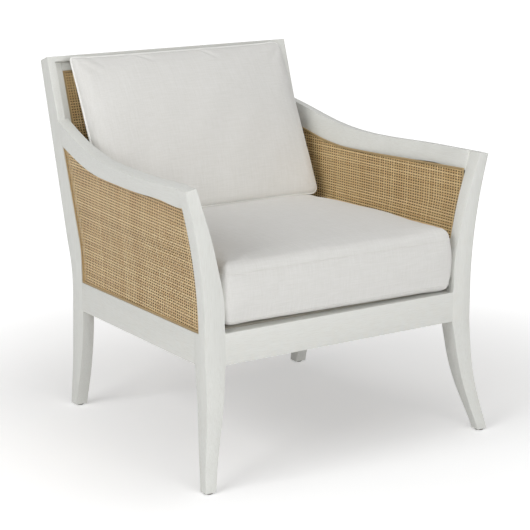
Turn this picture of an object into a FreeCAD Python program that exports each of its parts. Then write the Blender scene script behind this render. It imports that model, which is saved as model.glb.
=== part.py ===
import FreeCAD
import Part
import math
import os
import re
import Sketcher

V = FreeCAD.Vector

# Lounge chair with a bleached hardwood frame, double caned sides and back and two loose cushions.
# Sizes are in millimetres. Y runs from the front of the seat to the back and Z upwards.
# The frame is drawn for the side at +X, and the other side is its mirror image.

doc = FreeCAD.newDocument("LoungeChair")
sheet = doc.addObject("Spreadsheet::Sheet", "Sizes")

SIZES = {
    # Seat frame
    "front_half_width": 340,
    "seat_narrowing": 18.7,
    "rear_post_front": 561,
    "rail_top": 316,
    "rail_height": 66,
    "seat_fall": 12.3,
    "side_rail_thick": 25,
    "side_rail_overrun": 10,
    "front_rail_thick": 28,
    "back_rail_front": 578,
    "back_rail_thick": 25,
    # Front leg with its arm post
    "post_width": 48,
    "leg_depth": 40,
    "foot_width": 24,
    "foot_depth": 23,
    "foot_kick_side": 25,
    "foot_kick_front": 40,
    "arm_post_depth_low": 25,
    "arm_post_depth_top": 33,
    "arm_post_width_top": 25.5,
    "arm_flare": 41,
    "arm_top": 614,
    "arm_top_fall": 4,
    # Rear leg with its back stile
    "rear_post_width": 28.3,
    "rear_leg_depth": 45.5,
    "rear_foot_depth": 25,
    "rear_foot_kick": 42,
    "stile_foot_rise": 84,
    "stile_set_back": 9,
    "stile_foot_depth": 60,
    "stile_rise": 397,
    "stile_rake_reach": 133,
    "stile_top_depth": 34.5,
    # Arm
    "arm_run": 617,
    "arm_rise": 43,
    "arm_height_front": 33,
    "arm_height_gain": 17,
    "arm_width": 25.5,
    "arm_swell": 3.5,
    # Back frame and its caned panel
    "crest_lip": 12.4,
    "stile_lip": 18.5,
    "crest_backing": 20.5,
    "panel_recess": 10,
    "panel_thick": 14,
    "panel_member_width": 20,
    "lower_rail_height": 38,
    "lower_rail_thick": 28,
    "lower_rail_inset": 8,
    # Cane and its reed spline
    "cane_thick": 1.2,
    "spline_thick": 2,
    "spline_width": 5,
    "spline_recess": 1.5,
    "cane_fit": 0.3,
    "cane_seat": 0.1,
    # Joints of the frame
    "dowel_diameter": 10,
    "dowel_length": 60,
    "short_dowel_length": 44,
    "dowel_pitch": 30,
    "arm_dowel_diameter": 8,
    "arm_dowel_length": 40,
    "arm_dowel_pitch": 14,
    "crest_dowel_diameter": 6,
    "dowel_fit": 0.15,
    "block_leg": 80,
    "block_height": 28,
    "block_rise": 6,
    "bolt_level": 10,
    "bolt_diameter": 6,
    "bolt_length": 62,
    "bolt_head_diameter": 14,
    "bolt_head_height": 4,
    # Drop-in seat deck
    "slat_thick": 18,
    "slat_width": 45,
    "deck_side_gap": 6.3,
    "deck_front_gap": 2,
    "deck_rear_gap": 4,
    "deck_drop": 10,
    "strap_width": 50,
    "strap_thick": 2,
    "strap_count": 6,
    "pad_thick": 8.3,
    "pad_inset": 2,
    "deck_cloth_thick": 1,
    "cleat_width": 35,
    "cleat_height": 20,
    "cleat_end": 6,
    "cleat_fit": 1.1,
    "cleat_rear_fit": 0.2,
    "cleat_gap": 0.1,
    "dust_cover_thick": 0.8,
    "dust_cover_inset": 35,
    # Feet
    "glide_height": 3,
    "glide_diameter": 19,
    "glide_pin_diameter": 3,
    "glide_pin_length": 16,
    # Cushions
    "soft_gap": 0.3,
    "core_gap": 0.8,
    "seat_cushion_side_gap": 0.8,
    "seat_cushion_front": -1,
    "seat_cushion_rear_gap": 21,
    "seat_cushion_thick": 139,
    "seat_cushion_crown": 17,
    "seat_cushion_round": 24,
    "seat_cushion_draw": 9,
    "seat_cushion_bulge": 7,
    "back_cushion_side_gap": 10,
    "back_cushion_edge": 24,
    "back_cushion_crown": 45,
    "back_cushion_rear_crown": 57.5,
    "back_cushion_round": 11,
    "back_cushion_draw": 4,
    "back_cushion_height": 384,
    "back_cushion_slant": 9,
    "back_cushion_seat": 6.7,
    "back_cushion_clearance": 1,
    "back_cushion_lean_angle": 7.7,
    "back_cushion_bulge": 0.5,
    "cover_thick": 3,
}

DERIVED = {
    "rear_half_width": "front_half_width - seat_narrowing",
    "stile_foot": "rail_top + stile_foot_rise",
    "deck_half_width": "rear_half_width - side_rail_thick - deck_side_gap",
    "deck_front": "front_rail_thick + deck_front_gap",
    "deck_rear": "back_rail_front - deck_rear_gap",
    "seat_cushion_half_width": "front_half_width - post_width - seat_cushion_side_gap",
    "seat_cushion_rear": "back_rail_front - seat_cushion_rear_gap",
    "back_cushion_half_width": "rear_half_width - rear_post_width - back_cushion_side_gap",
}

sizes_and_derived = list(SIZES.items()) + [(alias, "=" + formula) for alias, formula in DERIVED.items()]
for row, (alias, content) in enumerate(sizes_and_derived, 1):
    sheet.set(f"A{row}", alias)
    sheet.set(f"B{row}", str(content))
    sheet.setAlias(f"B{row}", alias)
doc.recompute()


def size(alias):
    return float(sheet.get(alias))


ALIASES = {**SIZES, **DERIVED}


def bound(expression):
    # Every name in the expression that the sheet holds is read from the sheet.
    def from_sheet(word):
        return f"Sizes.{word[0]}" if word[0] in ALIASES else word[0]

    return re.sub(r"[a-z_]+\b", from_sheet, expression)


def bind(thing, **expressions):
    for name, expression in expressions.items():
        thing.setExpression(name.replace("__", "."), bound(expression))


finished = {}


def finish(thing, node):
    thing.Label = node
    finished[node] = thing
    return thing


# Places that several pieces share, as expressions

front_toe = "foot_kick_front"
stile_front = "(rear_post_front + stile_set_back)"
rake = "atan(stile_rake_reach / stile_rise)"
stile_length = "sqrt(stile_rake_reach ^ 2 + stile_rise ^ 2)"
seat_tilt = "atan(seat_fall / rear_post_front)"
rail_narrowing = "seat_narrowing / rear_post_front"
back_of_chair = f"({stile_front} + stile_rake_reach + stile_top_depth * cos({rake}))"
centre = f"(({back_of_chair} - {front_toe}) / 2)"


def rail_face(along):
    # Outer face of the side rail, which comes in towards the back
    return f"(front_half_width - ({along}) * {rail_narrowing})"


def rail_level(along):
    return f"(rail_top - ({along}) * seat_fall / rear_post_front)"


# Sketches, pads and lofts

def outline(body, name, plane, corners, level="0"):
    # A closed outline whose corners are each placed from the sketch's origin
    sketch = body.newObject("Sketcher::SketchObject", name)
    support = [item for item in body.Origin.OriginFeatures if item.Role == plane][0]
    sketch.AttachmentSupport = [(support, "")]
    sketch.MapMode = "FlatFace"
    sketch.setExpression("AttachmentOffset.Base.z", bound(level))
    count = len(corners)
    turns = [2 * math.pi * step / count for step in range(count)]
    start = [V(math.cos(turn), math.sin(turn), 0) for turn in turns]
    for step in range(count):
        sketch.addGeometry(Part.LineSegment(start[step], start[(step + 1) % count]))
    for step in range(count):
        sketch.addConstraint(Sketcher.Constraint("Coincident", step, 2, (step + 1) % count, 1))
    for step, (across, up) in enumerate(corners):
        for kind, expression in (("DistanceX", across), ("DistanceY", up)):
            row = sketch.addConstraint(Sketcher.Constraint(kind, -1, 1, step, 1, 1.0))
            sketch.setExpression(f"Constraints[{row}]", bound(expression))
    return sketch


def rectangle(x_low, x_high, y_low, y_high):
    return [(x_low, y_low), (x_high, y_low), (x_high, y_high), (x_low, y_high)]


def new_body(name):
    return doc.addObject("PartDesign::Body", name)


def loft(body, name, sections, ruled=False):
    feature = body.newObject("PartDesign::AdditiveLoft", name)
    feature.Profile = sections[0]
    feature.Sections = sections[1:]
    feature.Ruled = ruled
    body.Tip = feature
    return feature


def pad(body, name, sketch, length):
    feature = body.newObject("PartDesign::Pad", name)
    feature.Profile = sketch
    feature.setExpression("Length", bound(length))
    body.Tip = feature
    return feature


def cut_through(body, name, sketch):
    # A cut both ways through the whole body
    doc.recompute()
    before = body.Shape.Volume
    feature = body.newObject("PartDesign::Pocket", name)
    feature.Profile = sketch
    feature.Type = "ThroughAll"
    feature.Midplane = True
    body.Tip = feature
    doc.recompute()
    assert feature.Shape.Volume < before, f"{name} cuts nothing"
    return feature


def compound(name, members):
    group = doc.addObject("Part::Compound", name)
    group.Links = members
    return group


def mirrored(source, name):
    other = doc.addObject("Part::Mirroring", name)
    other.Source = source
    other.Normal = (1, 0, 0)
    return other


def cut(name, base, tool):
    result = doc.addObject("Part::Cut", name)
    result.Base = base
    result.Tool = tool
    return result


def centred(thing):
    # The origin of the chair is on the floor under the middle of its outline.
    bind(thing, Placement__Base__y=f"-{centre}")
    return thing


def box(name, x_low, x_high, y_low, y_high, z_low, z_high):
    solid = doc.addObject("Part::Box", name)
    bind(solid, Length=f"{x_high} - ({x_low})", Width=f"{y_high} - ({y_low})", Height=f"{z_high} - ({z_low})")
    bind(solid, Placement__Base__x=x_low, Placement__Base__y=y_low, Placement__Base__z=z_low)
    return solid


def raked_y(depth, along):
    # Depth runs square to the stile's front and along runs up it.
    return f"({stile_front} + ({depth}) * cos({rake}) + ({along}) * sin({rake}))"


def raked_z(depth, along):
    return f"(stile_foot - ({depth}) * sin({rake}) + ({along}) * cos({rake}))"


LEAN_AXIS = FreeCAD.Rotation(V(-1, 0, 0), 1)


def leaning_box(name, x_low, x_high, thick, length, angle):
    # A box that leans back about its lower front edge, by an angle that replaces the axis's own
    solid = doc.addObject("Part::Box", name)
    bind(solid, Length=f"{x_high} - ({x_low})", Width=thick, Height=length)
    solid.Placement = FreeCAD.Placement(V(), LEAN_AXIS)
    bind(solid, Placement__Rotation__Angle=angle, Placement__Base__x=x_low)
    return solid


def raked_box(name, x_low, x_high, depth, thick, along, length, shift="0"):
    solid = leaning_box(name, x_low, x_high, thick, length, rake)
    bind(solid, Placement__Base__y=f"{raked_y(depth, along)} - {shift}")
    bind(solid, Placement__Base__z=raked_z(depth, along))
    return solid


# Dowels, each with the hole that it fills in both pieces

def pin(name, direction, at_x, at_y, at_z, diameter, length, extra="0"):
    # A round bar along x or y, placed by its middle
    solid = doc.addObject("Part::Cylinder", name)
    turn = {"x": FreeCAD.Rotation(V(0, 1, 0), 90), "y": FreeCAD.Rotation(V(1, 0, 0), -90)}[direction]
    solid.Placement = FreeCAD.Placement(V(), turn)
    bind(solid, Radius=f"{diameter} / 2 + {extra}", Height=f"{length} + 2 * {extra}")
    start = {"x": at_x, "y": at_y, "z": at_z}
    start[direction] = f"({start[direction]}) - {length} / 2 - {extra}"
    bind(solid, Placement__Base__x=start["x"], Placement__Base__y=start["y"], Placement__Base__z=start["z"])
    return solid


def dowel(name, direction, at_x, at_y, at_z, diameter, length):
    wood = pin(name, direction, at_x, at_y, at_z, diameter, length)
    hole = pin(name + "_hole", direction, at_x, at_y, at_z, diameter, length, "dowel_fit")
    return wood, hole


def dowel_pair(name, direction, at_x, at_y, at_z, diameter, length, pitch):
    pairs = []
    for place, shift in (("low", "-"), ("high", "+")):
        level = f"{at_z} {shift} {pitch} / 2"
        pairs.append(dowel(f"{name}_{place}", direction, at_x, at_y, level, diameter, length))
    return pairs


side_rail_middle = f"({rail_face('leg_depth')} - side_rail_thick / 2)"
side_rail_rear_middle = f"({rail_face('rear_post_front')} - side_rail_thick / 2)"
post_inner = "(front_half_width - post_width)"
rear_post_inner = "(rear_half_width - rear_post_width)"
rail_middle = "(rail_top - rail_height / 2)"
rear_rail_middle = "(rail_top - seat_fall - rail_height / 2)"

REAR_DOWEL_LIFT_SHARE = 0.6
front_pair_middle = f"{rail_middle} + dowel_diameter"
rear_pair_middle = f"{rear_rail_middle} + dowel_diameter * {REAR_DOWEL_LIFT_SHARE}"
back_pair_middle = f"{rear_rail_middle} - dowel_diameter"
back_rail_middle = "(back_rail_front + back_rail_thick / 2)"
FRAME_JOINTS = (
    ("front_rail_dowel", "x", post_inner, "front_rail_thick / 2", rail_middle, "dowel_length"),
    ("side_rail_front_dowel", "y", side_rail_middle, "leg_depth", front_pair_middle, "dowel_length"),
    ("side_rail_rear_dowel", "y", side_rail_rear_middle, "rear_post_front", rear_pair_middle, "dowel_length"),
    ("back_rail_dowel", "x", rear_post_inner, back_rail_middle, back_pair_middle, "short_dowel_length"),
)
frame_pairs = []
for name, direction, at_x, at_y, at_z, length in FRAME_JOINTS:
    frame_pairs += dowel_pair(name, direction, at_x, at_y, at_z, "dowel_diameter", length, "dowel_pitch")

LOWER_DOWEL_SHARES = {"low": 0.71, "high": 0.29}
for place, share in LOWER_DOWEL_SHARES.items():
    depth = "lower_rail_inset + lower_rail_thick / 2"
    along = f"-lower_rail_height * {share}"
    frame_pairs.append(dowel(f"lower_rail_dowel_{place}", "x", rear_post_inner, raked_y(depth, along),
                             raked_z(depth, along), "dowel_diameter", "short_dowel_length"))

# Dowels of the crest rail, in its lip
CREST_DOWEL_SHARES = {"front": 0.3, "back": 0.76}
crest_pairs = []
for place, share in CREST_DOWEL_SHARES.items():
    depth = f"stile_top_depth * {share}"
    along = f"{stile_length} - crest_lip / 2"
    crest_pairs.append(dowel(f"crest_dowel_{place}", "x", rear_post_inner, raked_y(depth, along),
                             raked_z(depth, along), "crest_dowel_diameter", "arm_dowel_length"))

# Dowels of the arm, into the arm post and into the stile
ARM_JOINT_SHARE = 0.9
arm_front_x = f"(front_half_width + arm_flare * {ARM_JOINT_SHARE} - arm_width / 2)"
arm_rear_z = "(arm_top + arm_rise - (arm_height_front + arm_height_gain) / 2)"
arm_rear_x = "(rear_half_width - arm_width / 2)"
arm_rear_y = f"({stile_front} + ({arm_rear_z} - stile_foot) * stile_rake_reach / stile_rise)"
ARM_JOINTS = (
    ("arm_front_dowel", arm_front_x, "arm_post_depth_top", "(arm_top - arm_height_front / 2)"),
    ("arm_rear_dowel", arm_rear_x, arm_rear_y, arm_rear_z),
)
arm_pairs = []
for name, at_x, at_y, at_z in ARM_JOINTS:
    arm_pairs += dowel_pair(name, "y", at_x, at_y, at_z, "arm_dowel_diameter", "arm_dowel_length",
                            "arm_dowel_pitch")

# Corner blocks, each drawn up to the leg by one bolt

def rail_inside(along):
    return f"({rail_face(along)} - side_rail_thick)"


def block_corners(rail, inward):
    far = f"({rail}) {inward} block_leg"
    return [(rail_inside(rail), rail), (f"{rail_inside(far)} - block_leg", rail), (rail_inside(far), far)]


DIAGONAL = math.sqrt(0.5)


def bolt(name, rail, inward, level, turn, extra="0"):
    # The shank points into the leg and the head lies on the block's long face.
    far = f"({rail}) {inward} block_leg"
    head_x = f"({rail_inside(far)} - block_leg / 2)"
    head_y = f"(({rail} + {far}) / 2)"
    parts = []
    for piece, diameter, start, length in (
        ("shank", "bolt_diameter", "0", f"bolt_length + {extra}"),
        ("head", "bolt_head_diameter", "-bolt_head_height", "bolt_head_height"),
    ):
        solid = doc.addObject("Part::Cylinder", f"{name}_{piece}")
        solid.Placement = FreeCAD.Placement(V(), turn)
        bind(solid, Radius=f"{diameter} / 2 + {extra}", Height=length)
        out = "+" if inward == "-" else "-"
        bind(solid, Placement__Base__x=f"{head_x} + ({start}) * {DIAGONAL}",
             Placement__Base__y=f"{head_y} {out} ({start}) * {DIAGONAL}", Placement__Base__z=level)
        parts.append(solid)
    if extra != "0":
        return parts[0]
    whole = doc.addObject("Part::Fuse", name)
    whole.Base, whole.Tool = parts
    return whole


front_block_low = "(rail_top - rail_height + block_rise)"
rear_block_low = "(rail_top - seat_fall - rail_height + block_rise)"
towards_front = FreeCAD.Rotation(V(0, 0, 1), V(1, -1, 0))
towards_rear = FreeCAD.Rotation(V(0, 0, 1), V(1, 1, 0))
BOLTS = (
    ("front_bolt", "front_rail_thick", "+", f"{front_block_low} + bolt_level", towards_front),
    ("rear_bolt", "back_rail_front", "-", f"{rear_block_low} + bolt_level", towards_rear),
)
bolts = [bolt(*row) for row in BOLTS]
bolt_holes = [bolt(row[0] + "_hole", *row[1:], extra="dowel_fit") for row in BOLTS]

# Glides, each a disc with a pin in the foot
front_foot = ("(front_half_width + foot_kick_side - foot_width / 2)", "(foot_depth / 2 - foot_kick_front)")
rear_foot_middle = "(rear_post_front + rear_foot_kick + rear_foot_depth / 2)"
rear_foot = ("(rear_half_width - rear_post_width / 2)", rear_foot_middle)


def upright(name, at, level, diameter, length):
    solid = doc.addObject("Part::Cylinder", name)
    bind(solid, Radius=f"{diameter} / 2", Height=length)
    bind(solid, Placement__Base__x=at[0], Placement__Base__y=at[1], Placement__Base__z=level)
    return solid


glides = []
glide_holes = []
for end, at in (("front", front_foot), ("rear", rear_foot)):
    disc = upright(f"{end}_glide_disc", at, "0", "glide_diameter", "glide_height")
    stem = upright(f"{end}_glide_pin", at, "0", "glide_pin_diameter", "glide_height + glide_pin_length")
    whole = doc.addObject("Part::Fuse", f"{end}_glide")
    whole.Base, whole.Tool = disc, stem
    glides.append(whole)
    glide_holes.append(upright(f"{end}_glide_hole", at, "0", "(glide_pin_diameter + 2 * dowel_fit)",
                               "glide_height + glide_pin_length + dowel_fit"))

# Front leg, which runs up as the arm post

LEG_HEIGHT_SHARES = [0.2, 0.4, 0.6, 0.8, 1]
LEG_SIDE_SHARES = [1, 0.7, 0.34, 0.09, 0, 0]
LEG_FRONT_SHARES = [1, 0.67, 0.42, 0.26, 0.13, 0]
LEG_WIDTH_SHARES = [0, 0.18, 0.33, 0.52, 0.73, 1]
LEG_DEPTH_SHARES = [0, 0.1, 0.55, 0.85, 0.97, 1]
POST_HEIGHT_SHARES = [0, 0.17, 0.33, 0.5, 0.67, 0.83, 1, 1.03]
POST_WIDTH_SHARES = [0, 0.02, 0.16, 0.4, 0.6, 0.84, 1, 1.03]

rail_bottom = "(rail_top - rail_height)"
front_leg = new_body("front_leg_blank")
levels = ["glide_height"] + [f"{rail_bottom} * {share}" for share in LEG_HEIGHT_SHARES]
sections = []
for step, level in enumerate(levels):
    outer = f"front_half_width + foot_kick_side * {LEG_SIDE_SHARES[step]}"
    inner = f"{outer} - foot_width - (post_width - foot_width) * {LEG_WIDTH_SHARES[step]}"
    front = f"-foot_kick_front * {LEG_FRONT_SHARES[step]}"
    back = f"{front} + foot_depth + (leg_depth - foot_depth) * {LEG_DEPTH_SHARES[step]}"
    section = rectangle(inner, outer, front, back)
    sections.append(outline(front_leg, f"leg_section_{step}", "XY_Plane", section, level))
loft(front_leg, "leg_below_rail", sections)
knee = outline(front_leg, "leg_at_rail_section", "XY_Plane",
               rectangle(post_inner, "front_half_width", "0", "leg_depth"), rail_bottom)
pad(front_leg, "leg_at_rail", knee, "rail_height")
sections = []
for step, share in enumerate(POST_HEIGHT_SHARES):
    outer = f"front_half_width + arm_flare * {share} ^ 2"
    inner = f"{outer} - post_width + (post_width - arm_post_width_top) * {POST_WIDTH_SHARES[step]}"
    back = f"arm_post_depth_low + (arm_post_depth_top - arm_post_depth_low) * {share}"
    level = f"rail_top + (arm_top - rail_top) * {share}"
    section = rectangle(inner, outer, "0", back)
    sections.append(outline(front_leg, f"post_section_{step}", "XY_Plane", section, level))
loft(front_leg, "arm_post", sections)
post_top_outer = "(front_half_width + arm_flare)"
slope_out = f"{post_top_outer} + arm_post_width_top"
slope_in = f"{post_top_outer} - 2 * arm_post_width_top"
above = "arm_top + 2 * arm_top_fall + arm_height_front"
top_slope = outline(front_leg, "post_top_slope", "XZ_Plane", [
    (slope_out, "arm_top - arm_top_fall"), (slope_out, above), (slope_in, above),
    (slope_in, "arm_top + 2 * arm_top_fall")])
cut_through(front_leg, "post_top", top_slope)

# Rear leg, which runs up as the stile of the back

REAR_HEIGHT_SHARES = [0.15, 0.3, 0.45, 0.6, 0.75, 0.86, 1]
REAR_KICK_SHARES = [1, 0.63, 0.28, 0.05, -0.04, 0, 0, 0]
REAR_SET_SHARES = [0, 0, 0, 0, 0, 0, 0.15, 1]
REAR_DEPTH_SHARES = [0, 0.41, 0.8, 1.1, 1.12, 1, 1, 1]
STILE_DEPTH_SHARES = [0, 0, 0, 0, 0, 0, 0.35, 1]

rear_leg = new_body("rear_leg_blank")
levels = ["glide_height"] + [f"stile_foot * {share}" for share in REAR_HEIGHT_SHARES]
sections = []
for step, level in enumerate(levels):
    set_back = f"stile_set_back * {REAR_SET_SHARES[step]}"
    front = f"rear_post_front + rear_foot_kick * {REAR_KICK_SHARES[step]} + {set_back}"
    depth = (f"rear_foot_depth + (rear_leg_depth - rear_foot_depth) * {REAR_DEPTH_SHARES[step]}"
             f" + (stile_foot_depth - rear_leg_depth) * {STILE_DEPTH_SHARES[step]}")
    section = rectangle(rear_post_inner, "rear_half_width", front, f"{front} + {depth}")
    sections.append(outline(rear_leg, f"rear_leg_section_{step}", "XY_Plane", section, level))
loft(rear_leg, "leg_below_stile", sections)
stile_profile = outline(rear_leg, "stile_profile", "YZ_Plane", [
    (stile_front, "stile_foot"),
    (f"{stile_front} + stile_foot_depth", "stile_foot"),
    (raked_y("stile_top_depth", stile_length), raked_z("stile_top_depth", stile_length)),
    (raked_y("0", stile_length), raked_z("0", stile_length))], rear_post_inner)
pad(rear_leg, "stile", stile_profile, "rear_post_width")
lip_inner = "(rear_half_width - stile_lip)"
panel_depth = "(panel_recess + panel_thick)"
panel_length = f"({stile_length} - crest_lip)"
stile_rebate = raked_box("stile_rebate", f"{rear_post_inner} - stile_lip", lip_inner, "-stile_top_depth",
                         f"stile_top_depth + {panel_depth}", "0", panel_length)

# Rails

front_rail = box("front_rail_blank", f"-{post_inner}", post_inner, "0", "front_rail_thick", rail_bottom,
                 "rail_top")
rear_bottom = "(rail_top - seat_fall - rail_height)"
back_rail = box("back_rail_blank", f"-{rear_post_inner}", rear_post_inner, "back_rail_front",
                "back_rail_front + back_rail_thick", rear_bottom, f"{rear_bottom} + rail_height")


def skewed(name, near, far, width, low, high):
    # A straight bar along the side rail: width is its outer line and how far it comes in from there,
    # and low and high are how far it lies below the top of the rail.
    body = new_body(name)
    ends = []
    for end, along in (("near", near), ("far", far)):
        outer = width[0].format(face=rail_face(along))
        section = rectangle(f"{outer} - {width[1]}", outer, f"{rail_level(along)} - {low}",
                            f"{rail_level(along)} - {high}")
        ends.append(outline(body, f"{name}_{end}", "XZ_Plane", section, f"-({along})"))
    loft(body, f"{name}_bar", ends, ruled=True)
    return body


side_rail = skewed("side_rail_blank", "leg_depth", "rear_post_front + side_rail_overrun",
                   ("{face}", "side_rail_thick"), "rail_height", "0")
crest_low = f"{panel_length} - crest_backing"
crest = raked_box("crest_blank", f"-{rear_post_inner}", rear_post_inner, "0", "stile_top_depth", crest_low,
                  "crest_lip + crest_backing")
crest_rebate = raked_box("crest_rebate", f"-{lip_inner}", lip_inner, "-stile_top_depth",
                         f"stile_top_depth + {panel_depth}", "0", panel_length)
lower_rail = raked_box("lower_rail_blank", f"-{rear_post_inner}", rear_post_inner, "lower_rail_inset",
                       "lower_rail_thick", "-lower_rail_height", "lower_rail_height")

# Arm, which is one swept piece

ARM_RUN_SHARES = [-0.02, 0.125, 0.27, 0.433, 0.562, 0.676, 0.789, 0.903, 1, 1.08]
ARM_FLARE_SHARES = [1.01, 1.066, 1.054, 0.866, 0.676, 0.524, 0.412, 0.273, 0.102, -0.03]
ARM_RISE_SHARES = [0, -0.047, -0.093, -0.156, -0.144, -0.012, 0.256, 0.65, 0.988, 1.28]
ARM_HEIGHT_SHARES = [0.13, 0.16, 0.18, 0.22, 0.35, 0.65, 0.82, 0.91, 1, 1.06]
ARM_SWELL_SHARES = [0, 0.7, 1, 1, 0.7, 0.43, 0.14, 0, -0.14, -0.14]

arm = new_body("arm_blank")
sections = []
for step, share in enumerate(ARM_RUN_SHARES):
    along = f"(arm_post_depth_top + arm_run * {share})"
    flare = f"arm_flare * {ARM_FLARE_SHARES[step]}"
    height = f"(arm_height_front + arm_height_gain * {ARM_HEIGHT_SHARES[step]})"
    width = f"(arm_width + arm_swell * {ARM_SWELL_SHARES[step]})"
    lean = f"2 * {flare} / (arm_top - rail_top) * {height}"
    outer = f"{rail_face(along)} + {flare}"
    top = f"arm_top + arm_rise * {ARM_RISE_SHARES[step]}"
    section = [
        (f"{outer} - {lean}", f"{top} - {height}"),
        (outer, top),
        (f"{outer} - {width}", f"{top} + arm_top_fall"),
        (f"{outer} - {width} - {lean}", f"{top} - {height}"),
    ]
    sections.append(outline(arm, f"arm_section_{step}", "XZ_Plane", section, f"-{along}"))
loft(arm, "arm_sweep", sections)
past_top = "2 * arm_top - rail_top"
front_end = outline(arm, "arm_front_end", "YZ_Plane", [
    ("arm_post_depth_low", "rail_top"), ("2 * arm_post_depth_top - arm_post_depth_low", past_top),
    ("-leg_depth", past_top), ("-leg_depth", "rail_top")])
cut_through(arm, "arm_front_cut", front_end)
rear_end = outline(arm, "arm_rear_end", "YZ_Plane", [
    (stile_front, "stile_foot"), (f"{stile_front} + 2 * stile_rake_reach", "stile_foot"),
    (f"{stile_front} + 2 * stile_rake_reach", "stile_foot + stile_rise"),
    (f"{stile_front} + stile_rake_reach", "stile_foot + stile_rise")])
cut_through(arm, "arm_rear_cut", rear_end)

# Corner blocks


def corner_block(end, rail, inward, low):
    body = new_body(f"{end}_block_blank")
    plan = outline(body, f"{end}_block_plan", "XY_Plane", block_corners(rail, inward), low)
    pad(body, f"{end}_block_pad", plan, "block_height")
    return body


front_block = corner_block("front", "front_rail_thick", "+", front_block_low)
rear_block = corner_block("rear", "back_rail_front", "-", rear_block_low)

doc.recompute()

# Holes and the pieces that they shape

dowel_holes = [hole for wood, hole in frame_pairs + crest_pairs + arm_pairs]
holes = compound("joint_holes", dowel_holes + bolt_holes + glide_holes)
both_holes = compound("all_holes", [holes, mirrored(holes, "joint_holes_other_side")])


def both_sides(name, result):
    # Finishes a piece and its mirror image on the other side.
    finish(centred(result), f"{name}_right")
    finish(mirrored(result, f"{name}_left"), f"{name}_left")


def cut_by(name, blank, cutters):
    return cut(name, blank, compound(f"{name}_cuts", cutters))


PAIRED_PIECES = (
    ("front_leg", front_leg, [holes]),
    ("rear_leg", rear_leg, [holes, stile_rebate]),
    ("arm", arm, [holes]),
    ("side_rail", side_rail, [holes, rear_leg]),
    ("front_corner_block", front_block, [holes, front_leg]),
    ("rear_corner_block", rear_block, [holes, rear_leg]),
)
CROSS_PIECES = (
    ("front_rail", front_rail, [both_holes]),
    ("back_rail", back_rail, [both_holes]),
    ("crest_rail", crest, [both_holes, crest_rebate]),
    ("lower_back_rail", lower_rail, [both_holes]),
)
for name, blank, cutters in PAIRED_PIECES:
    both_sides(name, cut_by(name, blank, cutters))
for name, blank, cutters in CROSS_PIECES:
    finish(centred(cut_by(name, blank, cutters)), name)


def both_ways(name, members):
    half = compound(f"{name}_half", members)
    whole = compound(name, [half, mirrored(half, f"{name}_other_half")])
    finish(centred(whole), name)


both_ways("frame_dowels", [wood for wood, hole in frame_pairs])
both_ways("crest_dowels", [wood for wood, hole in crest_pairs])
both_ways("arm_dowels", [wood for wood, hole in arm_pairs])
both_ways("corner_bolts", bolts)
both_ways("floor_glides", glides)

# Caned panel of the back, lying in the rebate of the stiles and the crest

opening_half = f"({lip_inner} - panel_member_width)"
opening_length = f"({panel_length} - 2 * panel_member_width)"


def panel_member(name, x_low, x_high, along, length):
    member = raked_box(name, x_low, x_high, "panel_recess", "panel_thick", along, length, centre)
    return finish(member, name)


stile_member = panel_member("back_panel_stile_right", opening_half, lip_inner, "0", panel_length)
finish(mirrored(stile_member, "back_panel_stile_left"), "back_panel_stile_left")
panel_member("back_panel_bottom", f"-{opening_half}", opening_half, "0", "panel_member_width")
panel_member("back_panel_top", f"-{opening_half}", opening_half, f"{panel_length} - panel_member_width",
             "panel_member_width")

cane_half = f"({opening_half} - cane_fit)"
cane_length = f"({opening_length} - 2 * cane_fit)"
cane_foot = "(panel_member_width + cane_fit)"
rear_reed_depth = f"{panel_depth} - spline_recess - spline_thick"
FACES = (
    ("front", "panel_recess + spline_recess", "panel_recess + spline_recess + spline_thick"),
    ("rear", rear_reed_depth, f"{rear_reed_depth} - cane_thick"),
)
for face, reed_depth, cane_depth in FACES:
    web = raked_box(f"back_cane_{face}", f"-{cane_half}", cane_half, cane_depth, "cane_thick", cane_foot,
                    cane_length, centre)
    finish(web, f"back_cane_{face}")
    strips = []
    for end, along in (("low", cane_foot), ("high", f"{cane_foot} + {cane_length} - spline_width")):
        strips.append(raked_box(f"back_reed_{face}_{end}", f"-{cane_half}", cane_half, reed_depth,
                                "spline_thick", along, "spline_width"))
    for side, x_low in (("right", f"{cane_half} - spline_width"), ("left", f"-{cane_half}")):
        strips.append(raked_box(f"back_reed_{face}_{side}", x_low, f"{x_low} + spline_width", reed_depth,
                                "spline_thick", f"{cane_foot} + spline_width",
                                f"{cane_length} - 2 * spline_width"))
    finish(centred(compound(f"back_spline_{face}", strips)), f"back_spline_{face}")

# Caned sides, which follow the lean and the bow between the rail and the arm

arm_stations = [size("arm_post_depth_top") + size("arm_run") * share for share in ARM_RUN_SHARES]
arm_flares = [size("arm_flare") * share for share in ARM_FLARE_SHARES]
arm_tops = [size("arm_top") + size("arm_rise") * share for share in ARM_RISE_SHARES]
arm_heights = [size("arm_height_front") + size("arm_height_gain") * share for share in ARM_HEIGHT_SHARES]


def along_arm(values, along):
    # Smooth curve through the arm's stations
    last = len(arm_stations) - 1
    step = max(place for place in range(last) if place == 0 or arm_stations[place] <= along)
    run = arm_stations[step + 1] - arm_stations[step]
    ratio = (along - arm_stations[step]) / run

    def slope(place):
        before = max(place - 1, 0)
        after = min(place + 1, last)
        return (values[after] - values[before]) / (arm_stations[after] - arm_stations[before]) * run

    rise = values[step + 1] - values[step]
    bend_in = slope(step) - rise
    bend_out = slope(step + 1) - rise
    return values[step] + ratio * rise + ratio * (1 - ratio) * ((1 - ratio) * bend_in - ratio * bend_out)


def rail_face_at(along):
    return size("front_half_width") - along * size("seat_narrowing") / size("rear_post_front")


def rail_level_at(along):
    return size("rail_top") - along * size("seat_fall") / size("rear_post_front")


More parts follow.
